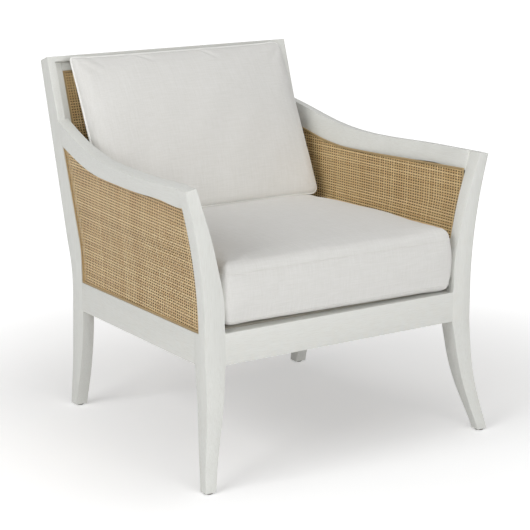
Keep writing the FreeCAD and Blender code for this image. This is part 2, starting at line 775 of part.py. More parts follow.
def post_back_at(level):
    share = (level - size("rail_top")) / (size("arm_top") - size("rail_top"))
    return size("arm_post_depth_low") + share * (size("arm_post_depth_top") - size("arm_post_depth_low"))


def stile_front_at(level):
    foot = size("rear_post_front") + size("stile_set_back")
    if level > size("stile_foot"):
        return foot + (level - size("stile_foot")) * size("stile_rake_reach") / size("stile_rise")
    share = max(0, (level - size("rail_top")) / (size("stile_foot") - size("rail_top")))
    return size("rear_post_front") + size("stile_set_back") * share ** 2


reed = size("spline_width")


def side_face_at(along, level):
    low = rail_level_at(along)
    share = max(0, (level - low) / (along_arm(arm_tops, along) - low))
    face = rail_face_at(along) + along_arm(arm_flares, along) * share ** 2
    flush = size("rear_half_width") + (stile_front_at(level) - along) * size("arm_flare") / size("arm_run")
    return min(face, flush)


SHEET_ROWS = 12
SHEET_COLUMNS = 8
SETTLING_ROUNDS = 6


def side_sheet(inset, thick):
    # A sheet that follows the side's outer face at a depth below it, and runs into the frame all round.
    # How far along a point lies and how high it is depend on each other, so they settle in a few rounds.
    middle = (size("rail_top") + size("arm_top")) / 2
    points = []
    for row in range(SHEET_ROWS + 1):
        line = []
        for column in range(SHEET_COLUMNS + 1):
            level = middle
            for settling in range(SETTLING_ROUNDS):
                front = post_back_at(level) - reed
                rear = stile_front_at(level) + reed
                along = front + (rear - front) * row / SHEET_ROWS
                low = rail_level_at(along) - reed
                high = arm_low_at(along) + reed
                level = low + (high - low) * column / SHEET_COLUMNS
            line.append(V(side_face_at(along, level) - inset - thick, along, level))
        points.append(line)
    surface = Part.BSplineSurface()
    surface.interpolate(points)
    return surface.toShape().extrude(V(thick, 0, 0))


def arm_low_at(along):
    return along_arm(arm_tops, along) - along_arm(arm_heights, along)


def trimmed(solid, others):
    left = solid.cut([item.Shape for item in others])
    return max(left.Solids, key=lambda piece: piece.Volume)


frame_around = [front_leg, rear_leg, arm, side_rail]
depth_of_reed = size("spline_recess") + size("spline_thick")
SIDE_FACES = (
    ("outer", size("spline_recess"), depth_of_reed + size("cane_seat")),
    ("inner", size("side_rail_thick") - depth_of_reed,
     size("side_rail_thick") - depth_of_reed - size("cane_seat") - size("cane_thick")),
)


EDGE_STEPS = 8
TOP_STEPS = 12


def stations_between(first, last, steps):
    return [first + (last - first) * step / steps for step in range(steps + 1)]


def opening_prism():
    # The opening inside the reed, as a prism across the side: front edge, top edge, rear edge and bottom edge
    post_levels = stations_between(size("rail_top"), arm_low_at(size("arm_post_depth_top")), EDGE_STEPS)
    front_edge = [(post_back_at(level) + reed, level) for level in post_levels]
    last = stile_front_at(arm_low_at(size("rear_post_front"))) - reed
    tops = stations_between(size("arm_post_depth_top") + reed, last, TOP_STEPS)
    top_edge = [(along, arm_low_at(along) - reed) for along in tops]
    rear_levels = stations_between(top_edge[-1][1], rail_level_at(size("rear_post_front")) + reed, EDGE_STEPS)
    rear_edge = [(stile_front_at(level) - reed, level) for level in rear_levels]
    front_low = (front_edge[0][0], rail_level_at(front_edge[0][0]) + reed)
    outline_points = (
        [front_low] + front_edge[1:-1] + [top_edge[0]],
        top_edge,
        [top_edge[-1]] + rear_edge[1:],
        [rear_edge[-1], front_low],
    )
    edges = []
    for points in outline_points:
        curve = Part.BSplineCurve()
        curve.interpolate([V(0, along, level) for along, level in points])
        edges.append(curve.toShape())
    return Part.Face(Part.Wire(edges)).extrude(V(2 * size("front_half_width"), 0, 0))


inside_reed = opening_prism()
for face, reed_inset, cane_inset in SIDE_FACES:
    web = trimmed(side_sheet(cane_inset, size("cane_thick")), frame_around)
    ring = trimmed(side_sheet(reed_inset, size("spline_thick")).cut(inside_reed), frame_around)
    for kind, shape in (("cane", web), ("spline", ring)):
        item = doc.addObject("Part::Feature", f"side_{kind}_{face}")
        item.Shape = shape
        both_sides(f"side_{kind}_{face}", item)

# Drop-in seat deck on cleats, which falls towards the back with the side rails


def seat_box(name, x_low, x_high, y_low, y_high, level, thick):
    solid = leaning_box(name, x_low, x_high, f"{y_high} - ({y_low})", thick, seat_tilt)
    bind(solid, Placement__Base__y=f"({y_low}) * cos({seat_tilt}) + ({level}) * sin({seat_tilt}) - {centre}")
    bind(solid, Placement__Base__z=f"rail_top - ({y_low}) * sin({seat_tilt}) + ({level}) * cos({seat_tilt})")
    return solid


slat_top = "-deck_drop"
slat_low = "(-deck_drop - slat_thick)"
cleat_low = "(-deck_drop - slat_thick - cleat_height)"
side_slat_front = "deck_front + slat_width"
side_slat_rear = "deck_rear - slat_width"


def seat_piece(node, half_width, y_low, y_high, level, thick):
    finish(seat_box(node, f"-{half_width}", half_width, y_low, y_high, level, thick), node)


seat_piece("deck_slat_front", "deck_half_width", "deck_front", side_slat_front, slat_low, "slat_thick")
seat_piece("deck_slat_rear", "deck_half_width", side_slat_rear, "deck_rear", slat_low, "slat_thick")
side_slat = seat_box("deck_slat_right", "deck_half_width - slat_width", "deck_half_width", side_slat_front,
                     side_slat_rear, slat_low, "slat_thick")
finish(side_slat, "deck_slat_right")
finish(mirrored(side_slat, "deck_slat_left"), "deck_slat_left")

strap_pitch = "(2 * deck_half_width / strap_count)"
straps = []
for place in range(int(size("strap_count"))):
    middle = f"({place} - (strap_count - 1) / 2) * {strap_pitch}"
    straps.append(seat_box(f"strap_{place}", f"{middle} - strap_width / 2", f"{middle} + strap_width / 2",
                           "deck_front + pad_inset", "deck_rear - pad_inset", slat_top, "strap_thick"))
finish(compound("webbing_straps", straps), "webbing_straps")
strap_top = "(strap_thick - deck_drop)"
pad_half = "(deck_half_width - pad_inset)"
pad_front = "deck_front + pad_inset"
pad_rear = "deck_rear - pad_inset"
pad_top = f"{strap_top} + pad_thick"
seat_piece("deck_pad", pad_half, pad_front, pad_rear, strap_top, "pad_thick")
seat_piece("deck_cloth", pad_half, pad_front, pad_rear, pad_top, "deck_cloth_thick")
seat_piece("dust_cover", "(deck_half_width - dust_cover_inset)", "deck_front + dust_cover_inset",
           "deck_rear - dust_cover_inset", f"{slat_low} - dust_cover_thick", "dust_cover_thick")

front_cleat_half = f"({rail_inside('front_rail_thick')} - block_leg - cleat_end)"
rear_cleat_half = f"({rail_inside('back_rail_front')} - block_leg - cleat_end)"
seat_piece("deck_cleat_front", front_cleat_half, "front_rail_thick + cleat_fit",
           "front_rail_thick + cleat_width", cleat_low, "cleat_height")
seat_piece("deck_cleat_rear", rear_cleat_half, "back_rail_front - cleat_width",
           "back_rail_front - cleat_rear_fit", cleat_low, "cleat_height")
side_cleat_width = ("({face} - side_rail_thick)", "cleat_width")
side_cleat = skewed("side_cleat", "(front_rail_thick + block_leg + cleat_end)",
                    "(back_rail_front - block_leg - cleat_end)", side_cleat_width,
                    "(deck_drop + slat_thick + cleat_height)", "(deck_drop + slat_thick + cleat_gap)")
finish(centred(side_cleat), "deck_cleat_right")
finish(mirrored(side_cleat, "deck_cleat_left"), "deck_cleat_left")

# Cushions, each a sewn cover round a foam core

# Each row is a station across half the width: its place, how far the section is drawn in, and its share
# of the crown. The seat cushion is a box cushion, and the back cushion narrows to a seamed edge all round.
SEAT_CUSHION_SHARES = [
    (1, 1, 0.1),
    (0.966, 0.41, 0.5),
    (0.866, 0.125, 0.71),
    (0.707, 0.025, 0.84),
    (0.383, 0, 0.963),
    (0, 0, 1),
]
BACK_CUSHION_SHARES = [
    (1, 1, 0.03),
    (0.966, 0.41, 0.2),
    (0.866, 0.125, 0.5),
    (0.707, 0.025, 0.76),
    (0.383, 0, 0.95),
    (0, 0, 1),
]


def arc(start, through, end):
    return Part.Arc(start, through, end).toShape()


def cushion_section(x, front, rear, low, slope, high, radius, swell_front, swell_rear, crown):
    # Bottom, rear, top and front of the section, joined by rounded corners
    soft = radius * (1 - DIAGONAL)

    def low_at(along, above):
        return V(x, along, low + slope * (along - (front + rear) / 2) + above)

    bottom_front = low_at(front + radius, 0)
    bottom_rear = low_at(rear - radius, 0)
    rear_low = low_at(rear, radius)
    front_low = low_at(front, radius)
    rear_high = V(x, rear, high - radius)
    top_rear = V(x, rear - radius, high)
    top_front = V(x, front + radius, high)
    front_high = V(x, front, high - radius)
    edges = [
        Part.LineSegment(bottom_front, bottom_rear).toShape(),
        arc(bottom_rear, low_at(rear - soft, soft), rear_low),
        arc(rear_low, V(x, rear + swell_rear, (low + high) / 2), rear_high),
        arc(rear_high, V(x, rear - soft, high - soft), top_rear),
        arc(top_rear, V(x, (front + rear) / 2, high + crown), top_front),
        arc(top_front, V(x, front + soft, high - soft), front_high),
        arc(front_high, V(x, front - swell_front, (low + high) / 2), front_low),
        arc(front_low, low_at(front + soft, soft), bottom_front),
    ]
    return Part.Wire(edges)


def cushion(shares, half_width, box, slope, draw, radius, swells, inset=0):
    # The box is front, rear, low and high, and the swells are front, rear and top.
    front, rear, low, high = box
    wires = []
    for side in (-1, 1):
        rows = shares if side < 0 else shares[-2::-1]
        for place, drawn, full in rows:
            step_in = draw * drawn + inset
            x = side * place * (half_width - inset)
            swelled = [swell * full for swell in swells]
            wires.append(cushion_section(x, front + step_in, rear - step_in, low + step_in, slope,
                                         high - step_in, radius - step_in, *swelled))
    return Part.makeLoft(wires, True)


def covered_cushion(name, place, *sizes):
    cover = size("cover_thick")
    outside = cushion(*sizes)
    hollow = cushion(*sizes, inset=cover)
    core = cushion(*sizes, inset=cover + size("core_gap"))
    for part, shape in (("cover", outside.cut(hollow)), ("core", core)):
        item = doc.addObject("Part::Feature", f"{name}_{part}")
        item.Shape = shape
        item.Placement = place
        finish(item, f"{name}_{part}")


tilt_now = math.atan(size("seat_fall") / size("rear_post_front"))
rake_now = math.atan(size("stile_rake_reach") / size("stile_rise"))
stile_front_now = size("rear_post_front") + size("stile_set_back")
chair_back = stile_front_now + size("stile_rake_reach") + size("stile_top_depth") * math.cos(rake_now)
centre_now = (chair_back - size("foot_kick_front")) / 2
deck_top = (size("strap_thick") - size("deck_drop") + size("pad_thick") + size("deck_cloth_thick")
            + size("soft_gap"))
seat_lean = FreeCAD.Rotation(V(-1, 0, 0), math.degrees(tilt_now))
seat_place = FreeCAD.Placement(V(0, -centre_now, size("rail_top")), seat_lean)
seat_high = deck_top + size("seat_cushion_thick")
seat_box_sizes = (size("seat_cushion_front"), size("seat_cushion_rear"), deck_top, seat_high)
seat_swells = (size("seat_cushion_bulge"), size("seat_cushion_bulge"), size("seat_cushion_crown"))
covered_cushion("seat_cushion", seat_place, SEAT_CUSHION_SHARES, size("seat_cushion_half_width"),
                seat_box_sizes, 0, size("seat_cushion_draw"), size("seat_cushion_round"), seat_swells)

# The back cushion stands on the seat cushion and leans until its rear crown meets the cane.
half_edge = size("back_cushion_edge") / 2
seat_fall_now = size("seat_cushion_rear") * math.sin(tilt_now)
foot_level = size("rail_top") + seat_high * math.cos(tilt_now) - seat_fall_now + size("back_cushion_seat")
half_height = size("back_cushion_height") / 2
half_chord = half_height - size("back_cushion_round")
rear_crown = size("back_cushion_rear_crown")
crown_radius = (half_chord ** 2 + rear_crown ** 2) / (2 * rear_crown)
crown_middle = half_edge + rear_crown - crown_radius
extra_lean = math.radians(size("back_cushion_lean_angle"))
reach = crown_middle * math.cos(extra_lean) + half_height * math.sin(extra_lean) + crown_radius
cane_front = size("panel_recess") + depth_of_reed - size("back_cushion_clearance")
level_share = (foot_level - size("stile_foot")) * math.tan(rake_now)
foot_place = stile_front_now + level_share + (cane_front - reach) / math.cos(rake_now)
back_lean = FreeCAD.Rotation(V(-1, 0, 0), math.degrees(rake_now + extra_lean))
back_place = FreeCAD.Placement(V(0, foot_place - centre_now, foot_level), back_lean)
back_box_sizes = (-half_edge, half_edge, 0, size("back_cushion_height"))
back_swells = (size("back_cushion_crown"), rear_crown, size("back_cushion_bulge"))
back_slope = size("back_cushion_slant") / size("back_cushion_edge")
covered_cushion("back_cushion", back_place, BACK_CUSHION_SHARES, size("back_cushion_half_width"),
                back_box_sizes, back_slope, size("back_cushion_draw"), size("back_cushion_round"),
                back_swells)

# Checks and files

doc.recompute()
for item in doc.Objects:
    assert not {"Invalid", "Error"} & set(item.State), f"{item.Name} failed"
os.makedirs("parts", exist_ok=True)
for node, thing in finished.items():
    shape = thing.Shape
    assert not shape.isNull() and shape.isValid(), f"{node} has no valid shape"
    shape.exportStep(f"parts/{node}.step")
    print(f"{node}: {len(shape.Solids)} solids, {shape.Volume / 1000:.1f} cm3")
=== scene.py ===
import math

import bmesh
import bpy
import numpy as np
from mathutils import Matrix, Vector


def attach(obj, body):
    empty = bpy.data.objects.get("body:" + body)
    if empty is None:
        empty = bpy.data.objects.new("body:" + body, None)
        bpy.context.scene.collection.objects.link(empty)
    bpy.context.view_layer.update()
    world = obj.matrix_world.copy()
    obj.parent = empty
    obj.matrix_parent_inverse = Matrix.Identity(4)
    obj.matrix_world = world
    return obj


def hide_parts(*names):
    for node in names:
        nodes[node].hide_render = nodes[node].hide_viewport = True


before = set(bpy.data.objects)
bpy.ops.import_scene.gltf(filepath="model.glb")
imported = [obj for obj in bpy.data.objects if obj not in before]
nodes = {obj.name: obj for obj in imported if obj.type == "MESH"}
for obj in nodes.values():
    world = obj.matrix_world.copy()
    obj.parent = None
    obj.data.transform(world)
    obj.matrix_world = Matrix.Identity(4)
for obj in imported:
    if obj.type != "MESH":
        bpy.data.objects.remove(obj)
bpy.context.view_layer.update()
print("frame loaded with", len(nodes), "nodes")

# Lounge chair in limed wood with caned sides and back and two linen cushions.
# Sizes are in millimetres in the dictionaries and in metres in the meshes.

mm = 0.001

chair = {
    "frontHalfWidth": 340,
    "narrowing": 18.7,         # how much narrower half the seat is at the rear posts
    "rearPostFront": 561,
    "railTop": 316,
    "seatFall": 12.3,
    "sideRailThick": 25,
    "armTop": 614,
    "armFlare": 41,
    "armPostDepthLow": 25,
    "armPostDepthTop": 33,
    "stileSetBack": 9,
    "stileFoot": 400,
    "stileRise": 397,
    "stileRakeReach": 133,
    "stileTopDepth": 34.5,
    "footKickFront": 40,
}
stileFront = chair["rearPostFront"] + chair["stileSetBack"]
rake = math.atan(chair["stileRakeReach"] / chair["stileRise"])
stileLength = math.hypot(chair["stileRakeReach"], chair["stileRise"])
seatTilt = math.atan(chair["seatFall"] / chair["rearPostFront"])
chairBack = stileFront + chair["stileRakeReach"] + chair["stileTopDepth"] * math.cos(rake)
middleDepth = (chairBack - chair["footKickFront"]) / 2     # the origin is under the middle of the chair


# Meshes

def addObject(name, data):
    item = bpy.data.objects.new(name, data)
    bpy.context.scene.collection.objects.link(item)
    return item


def newPiece(name, points, faces, material, uv=None, tone=None):
    # points is n x 3 in metres, faces is m x 4 or m x 3, uv and tone have one row for each point
    mesh = bpy.data.meshes.new(name)
    sides = faces.shape[1]
    mesh.vertices.add(len(points))
    mesh.vertices.foreach_set("co", points.astype(np.float32).ravel())
    mesh.loops.add(faces.size)
    mesh.loops.foreach_set("vertex_index", faces.astype(np.int32).ravel())
    mesh.polygons.add(len(faces))
    mesh.polygons.foreach_set("loop_start", np.arange(0, faces.size, sides, dtype=np.int32))
    mesh.update(calc_edges=True)
    mesh.polygons.foreach_set("use_smooth", np.ones(len(faces), bool))
    if uv is not None:
        layer = mesh.uv_layers.new(name="along")
        layer.data.foreach_set("uv", uv[faces.ravel()].astype(np.float32).ravel())
    if tone is not None:
        layer = mesh.attributes.new("tone", "FLOAT", "POINT")
        layer.data.foreach_set("value", tone.astype(np.float32))
    mesh.materials.append(material)
    return addObject(name, mesh)


def gridFaces(rows, columns, closeRows=False, closeColumns=False):
    # Four corners of each cell of a rows x columns grid, whose last row or column is joined to the first
    # where it is closed
    row = np.arange(rows if closeRows else rows - 1)[:, None]
    column = np.arange(columns if closeColumns else columns - 1)[None, :]
    nextRow = (row + 1) % rows
    nextColumn = (column + 1) % columns
    corners = [(row, column), (row, nextColumn), (nextRow, nextColumn), (nextRow, column)]
    return np.stack([line * columns + spot for line, spot in corners], axis=-1).reshape(-1, 4)


def smoothThrough(stations, values, at):
    # Cubic curve through the stations, with each slope taken from the two neighbours
    stations = np.asarray(stations, float)
    values = np.asarray(values, float)
    slopes = np.gradient(values, stations)
    slopes[1:-1] = (values[2:] - values[:-2]) / (stations[2:] - stations[:-2])
    step = np.clip(np.searchsorted(stations, at, side="right") - 1, 0, len(stations) - 2)
    run = stations[step + 1] - stations[step]
    share = (at - stations[step]) / run
    rise = values[step + 1] - values[step]
    bendIn = slopes[step] * run - rise
    bendOut = slopes[step + 1] * run - rise
    return values[step] + share * rise + share * (1 - share) * ((1 - share) * bendIn - share * bendOut)


def crease(piece):
    # Smooth faces, with a crease where they turn by more than sixty degrees
    piece.data.set_sharp_from_angle(angle=math.radians(60))


def ride(piece, body, slot, *replaced):
    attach(piece, body)
    if replaced:
        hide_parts(*replaced)
    return piece


# Shader groups

def newGroup(name, inputs, outputs):
    group = bpy.data.node_groups.new(name, "ShaderNodeTree")
    for label, kind, default in inputs:
        socket = group.interface.new_socket(label, in_out="INPUT", socket_type=kind)
        if default is not None:
            socket.default_value = default
    for label, kind in outputs:
        group.interface.new_socket(label, in_out="OUTPUT", socket_type=kind)
    start = group.nodes.new("NodeGroupInput")
    end = group.nodes.new("NodeGroupOutput")
    return group, start.outputs, end.inputs


def node(tree, kind, **settings):
    item = tree.nodes.new(kind)
    for key, value in settings.items():
        setattr(item, key, value)
    return item


def link(tree, source, target):
    tree.links.new(source, target)


def maths(tree, operation, first, second=None, third=None, clamp=False):
    item = node(tree, "ShaderNodeMath", operation=operation, use_clamp=clamp)
    for socket, value in zip(item.inputs, (first, second, third)):
        if value is None:
            continue
        if isinstance(value, (int, float)):
            socket.default_value = value
        else:
            link(tree, value, socket)
    return item.outputs[0]


def contrast(tree, value, gain, shift):
    # The value times a gain plus a shift, held between 0 and 1
    return maths(tree, "MULTIPLY_ADD", value, gain, shift, clamp=True)


def noise(tree, vector, scale, detail, roughness):
    item = node(tree, "ShaderNodeTexNoise")
    item.inputs["Scale"].default_value = scale
    item.inputs["Detail"].default_value = detail
    item.inputs["Roughness"].default_value = roughness
    link(tree, vector, item.inputs["Vector"])
    return item.outputs["Fac"]


def stretched(tree, vector, scale, turn=(0, 0, 0)):
    item = node(tree, "ShaderNodeMapping")
    item.inputs["Scale"].default_value = scale
    item.inputs["Rotation"].default_value = turn
    link(tree, vector, item.inputs["Vector"])
    return item.outputs["Vector"]


vectorInput = ("Vector", "NodeSocketVector", None)
grainLook = {
    "poreSqueeze": 0.035,      # along the grain
    "poreNoise": (900, 3, 0.6),
    "poreContrast": (3.2, -1.45),
    "bandSqueeze": 0.05,
    "bandNoise": (70, 3, 0.55),
    "bandHeight": 0.6,
}


def makeGrainGroup(look):
    # Open wood pores and soft growth bands: noise whose vector is squeezed along the grain, so it runs long
    outputs = [(label, "NodeSocketFloat") for label in ("Pores", "Bands", "Height")]
    group, given, out = newGroup("woodGrain", [vectorInput], outputs)

    def streaks(squeeze, values):
        return noise(group, stretched(group, given["Vector"], (1, 1, squeeze)), *values)

    pores = contrast(group, streaks(look["poreSqueeze"], look["poreNoise"]), *look["poreContrast"])
    bands = streaks(look["bandSqueeze"], look["bandNoise"])
    link(group, pores, out["Pores"])
    link(group, bands, out["Bands"])
    link(group, maths(group, "MULTIPLY_ADD", bands, look["bandHeight"], pores), out["Height"])
    return group


wearLook = {
    "edgeContrast": (14, -7.2),
    "patchNoise": (60, 4, 0.6),
    "patchContrast": (3, -1.1),
}


def makeWearGroup(look):
    # Where an edge sticks out and a patchy noise is high, from 0 on flat wood to 1 on an edge that is rubbed
    group, given, out = newGroup("edgeWear", [vectorInput], [("Wear", "NodeSocketFloat")])
    geometry = node(group, "ShaderNodeNewGeometry")
    edge = contrast(group, geometry.outputs["Pointiness"], *look["edgeContrast"])
    patch = contrast(group, noise(group, given["Vector"], *look["patchNoise"]), *look["patchContrast"])
    link(group, maths(group, "MULTIPLY", edge, patch), out["Wear"])
    return group


slubLook = {"squeeze": 0.06, "noise": (420, 2, 0.6)}


def makeWeaveGroup(look):
    # Plain weave: the product of two waves on each pair of axes, weighed by how far the cloth faces the
    # third, and slubs, which are short thick stretches of thread along either axis
    inputs = [vectorInput, ("Threads", "NodeSocketFloat", 900.0)]
    outputs = [(label, "NodeSocketFloat") for label in ("Height", "Slubs")]
    group, given, out = newGroup("plainWeave", inputs, outputs)
    spot = node(group, "ShaderNodeSeparateXYZ")
    link(group, given["Vector"], spot.inputs[0])
    facing = node(group, "ShaderNodeSeparateXYZ")
    link(group, node(group, "ShaderNodeTexCoord").outputs["Normal"], facing.inputs[0])
    waves = []
    for axis in range(3):
        turns = maths(group, "MULTIPLY", spot.outputs[axis], given["Threads"])
        waves.append(maths(group, "SINE", turns))
    height = 0.0
    for axis in range(3):
        first, second = [step for step in range(3) if step != axis]
        pair = maths(group, "MULTIPLY", waves[first], waves[second])
        weight = maths(group, "POWER", maths(group, "ABSOLUTE", facing.outputs[axis]), 2)
        height = maths(group, "MULTIPLY_ADD", pair, weight, height)
    slubs = []
    for squeeze in ((look["squeeze"], 1, 1), (1, look["squeeze"], look["squeeze"])):
        slubs.append(noise(group, stretched(group, given["Vector"], squeeze), *look["noise"]))
    link(group, height, out["Height"])
    link(group, maths(group, "ADD", *slubs), out["Slubs"])
    return group


grainGroup = makeGrainGroup(grainLook)
wearGroup = makeWearGroup(wearLook)
weaveGroup = makeWeaveGroup(slubLook)
print("shader groups built")


# Materials

def linear(colour):
    # Colour as seen, 0 to 255, to the shader's own scale
    share = np.asarray(colour, float) / 255
    value = np.where(share <= 0.04045, share / 12.92, ((share + 0.055) / 1.055) ** 2.4)
    return (*value.tolist(), 1.0)


def newMaterial(name, roughness, **shader):
    material = bpy.data.materials.new(name)
    material.use_nodes = True
    tree = material.node_tree
    principled = tree.nodes["Principled BSDF"]
    principled.inputs["Roughness"].default_value = roughness
    for key, value in shader.items():
        principled.inputs[key].default_value = value
    return material, tree, principled


def mixColour(tree, share, first, second):
    item = node(tree, "ShaderNodeMix", data_type="RGBA")
    link(tree, share, item.inputs[0])
    for socket, value in ((item.inputs[6], first), (item.inputs[7], second)):
        if isinstance(value, tuple):
            socket.default_value = value
        else:
            link(tree, value, socket)
    return item.outputs[2]


def bump(tree, principled, height, strength, distance):
    item = node(tree, "ShaderNodeBump")
    item.inputs["Strength"].default_value = strength
    item.inputs["Distance"].default_value = distance
    link(tree, height, item.inputs["Height"])
    link(tree, item.outputs["Normal"], principled.inputs["Normal"])


def place(tree):
    return node(tree, "ShaderNodeTexCoord").outputs["Object"]


def paint(tree, principled, share, first, second):
    # Base colour between two tones, by a share that changes over the surface
    link(tree, mixColour(tree, share, linear(first), linear(second)), principled.inputs["Base Color"])


def useGroup(tree, group, vector):
    item = node(tree, "ShaderNodeGroup", node_tree=group)
    link(tree, vector, item.inputs["Vector"])
    return item


limedWood = {
    "wash": (230, 231, 227),
    "washShade": (222, 223, 218),
    "pore": (203, 201, 193),
    "rubbed": (224, 221, 212),
    "roughness": 0.5,
}
woodSurface = {
    "poreShare": 0.45,
    "rubbedShare": 0.3,
    "poreRoughness": 0.12,
    "bump": (0.25, 0.0004),    # strength, and depth in metres, here and in each look below
}
quarterTurn = math.pi / 2
grainTurns = {"up": (0, 0, 0), "across": (0, quarterTurn, 0), "along": (quarterTurn, 0, 0)}


def makeWood(name, colours, direction):
    # Wash over the wood: bands change its tone, pores hold it, and worn edges let the wood through
    material, tree, principled = newMaterial(name, colours["roughness"])
    vector = place(tree)
    grain = useGroup(tree, grainGroup, stretched(tree, vector, (1, 1, 1), grainTurns[direction])).outputs
    wear = useGroup(tree, wearGroup, vector).outputs["Wear"]
    poreShare = maths(tree, "MULTIPLY", grain["Pores"], woodSurface["poreShare"])
    rubbedShare = maths(tree, "MULTIPLY", wear, woodSurface["rubbedShare"])
    colour = mixColour(tree, grain["Bands"], linear(colours["wash"]), linear(colours["washShade"]))
    colour = mixColour(tree, poreShare, colour, linear(colours["pore"]))
    colour = mixColour(tree, rubbedShare, colour, linear(colours["rubbed"]))
    poreRoughness = maths(tree, "MULTIPLY", grain["Pores"], woodSurface["poreRoughness"])
    roughness = maths(tree, "ADD", poreRoughness, colours["roughness"])
    link(tree, colour, principled.inputs["Base Color"])
    link(tree, roughness, principled.inputs["Roughness"])
    bump(tree, principled, grain["Height"], *woodSurface["bump"])
    return material


rawWood = {
    "wash": (205, 178, 138),
    "washShade": (186, 156, 114),
    "pore": (150, 120, 84),
    "rubbed": (212, 190, 152),
    "roughness": 0.62,
}
limed = {direction: makeWood(f"limedWood_{direction}", limedWood, direction) for direction in grainTurns}
raw = {direction: makeWood(f"rawWood_{direction}", rawWood, direction) for direction in grainTurns}

caneLook = {
    "light": (236, 210, 160),
    "dark": (196, 160, 108),
    "fibre": (150, 114, 70),
    "roughness": 0.42,
}
reedLook = {
    "light": (186, 162, 118),
    "dark": (152, 128, 88),
    "fibre": (112, 90, 58),
    "roughness": 0.5,
}
strandLook = {
    "fibreStretch": (40, 2600, 1),     # along and across the strand
    "fibreNoise": (1, 3, 0.6),
    "fibreContrast": (1.6, -0.75),
    "toneShare": (0.7, -0.15),
    "blotchNoise": (45, 3, 0.6),
    "blotchShare": 0.6,
    "bump": (0.3, 0.0002),
}


def makeCane(name, look):
    # Split cane: each strand has its own tone, blotches change it, and fine fibres run along it
    material, tree, principled = newMaterial(name, look["roughness"])
    tone = node(tree, "ShaderNodeAttribute", attribute_name="tone").outputs["Fac"]
    along = node(tree, "ShaderNodeUVMap", uv_map="along").outputs["UV"]
    fibre = noise(tree, stretched(tree, along, strandLook["fibreStretch"]), *strandLook["fibreNoise"])
    blotch = noise(tree, place(tree), *strandLook["blotchNoise"])
    toneShare = maths(tree, "MULTIPLY_ADD", tone, *strandLook["toneShare"])
    share = maths(tree, "MULTIPLY_ADD", blotch, strandLook["blotchShare"], toneShare, clamp=True)
    colour = mixColour(tree, share, linear(look["light"]), linear(look["dark"]))
    fibreShare = contrast(tree, fibre, *strandLook["fibreContrast"])
    link(tree, mixColour(tree, fibreShare, colour, linear(look["fibre"])), principled.inputs["Base Color"])
    bump(tree, principled, fibre, *strandLook["bump"])
    return material


cane = makeCane("cane", caneLook)
reed = makeCane("reedSpline", reedLook)

linenLook = {
    "thread": (230, 229, 226),
    "shade": (219, 218, 213),
    "roughness": 0.9,
    "threads": 5200.0,         # waves in a metre, times two pi
    "sheen": {"Sheen Weight": 0.25, "Sheen Roughness": 0.5},
    "slubContrast": (1.1, -0.75),
    "slubHeight": 0.5,
    "bump": (0.25, 0.0002),
}


def makeLinen(name, look, lean):
    # Linen: a weave fine enough to feel, and slubs that show as faint lines both ways
    material, tree, principled = newMaterial(name, look["roughness"], **look["sheen"])
    cloth = useGroup(tree, weaveGroup, stretched(tree, place(tree), (1, 1, 1), (lean, 0, 0)))
    cloth.inputs["Threads"].default_value = look["threads"]
    slubs, threads = cloth.outputs["Slubs"], cloth.outputs["Height"]
    paint(tree, principled, contrast(tree, slubs, *look["slubContrast"]), look["thread"], look["shade"])
    bump(tree, principled, maths(tree, "MULTIPLY_ADD", slubs, look["slubHeight"], threads), *look["bump"])
    return material


backLean = rake + math.radians(7.7)     # the back cushion leans back further than the stiles
# Painted highlight: the back cushion's seam is a lighter linen, for the light caught along its welt
seamHighlightLook = {**linenLook, "thread": (250, 250, 247), "shade": (243, 243, 239)}
seatLinen = makeLinen("seatLinen", linenLook, seatTilt)
backLinen = makeLinen("backLinen", linenLook, backLean)
seamHighlightLinen = makeLinen("seamHighlightLinen", seamHighlightLook, backLean)
plainCloth = {**linenLook, "roughness": 0.85}
slubShade = 0.86


def makeCloth(name, colour, threads):
    # Plain woven cloth of one colour, whose slubs are a little darker
    shade = tuple(part * slubShade for part in colour)
    return makeLinen(name, {**plainCloth, "thread": colour, "shade": shade, "threads": threads}, seatTilt)


deckCloth = makeCloth("deckCloth", (206, 200, 186), 3600.0)
dustCloth = makeCloth("dustCloth", (58, 57, 55), 4200.0)
webbing = makeCloth("webbing", (176, 150, 108), 1800.0)


zincLook = {
    "light": (196, 198, 200),
    "dark": (164, 166, 168),
    "crystals": 260,
    "crystalContrast": 1.2,
    "roughness": 0.3,
    "crystalRoughness": 0.2,
}


def makeMetal(name, look):
    # Zinc plate: small crystals that catch the light
    material, tree, principled = newMaterial(name, look["roughness"], Metallic=1.0)
    crystals = node(tree, "ShaderNodeTexVoronoi")
    crystals.inputs["Scale"].default_value = look["crystals"]
    link(tree, place(tree), crystals.inputs["Vector"])
    share = maths(tree, "MULTIPLY", crystals.outputs["Distance"], look["crystalContrast"], clamp=True)
    paint(tree, principled, share, look["light"], look["dark"])
    roughness = maths(tree, "MULTIPLY_ADD", share, look["crystalRoughness"], look["roughness"])
    link(tree, roughness, principled.inputs["Roughness"])
    return material


glideLook = {
    "light": (92, 88, 82),
    "dark": (70, 66, 61),
    "grain": (1400, 2, 0.5),
    "roughness": 0.5,
    "shine": 0.5,
    "bump": (0.2, 0.0002),
}
# Painted shade: the near black of the hollow between the two sheets of cane
paintedShadeLook = {
    "light": (34, 23, 14),
    "dark": (24, 16, 10),
    "grain": (700, 2, 0.5),
    "roughness": 1.0,
    "shine": 0.05,
    "bump": (0.2, 0.0002),
}


def makeGrained(name, look):
    # Moulded plastic, and the dull dark sheet of painted shade inside the cane, whose fine grain is only a
    # little apart in tone
    material, tree, principled = newMaterial(name, look["roughness"], **{"Specular IOR Level": look["shine"]})
    grain = noise(tree, place(tree), *look["grain"])
    paint(tree, principled, grain, look["light"], look["dark"])
    bump(tree, principled, grain, *look["bump"])
    return material


# Material of the painted shade inside the cane panels
paintedShadeSheet = makeGrained("paintedShadeSheet", paintedShadeLook)
zinc = makeMetal("zincSteel", zincLook)
glidePlastic = makeGrained("glidePlastic", glideLook)
print("materials built")

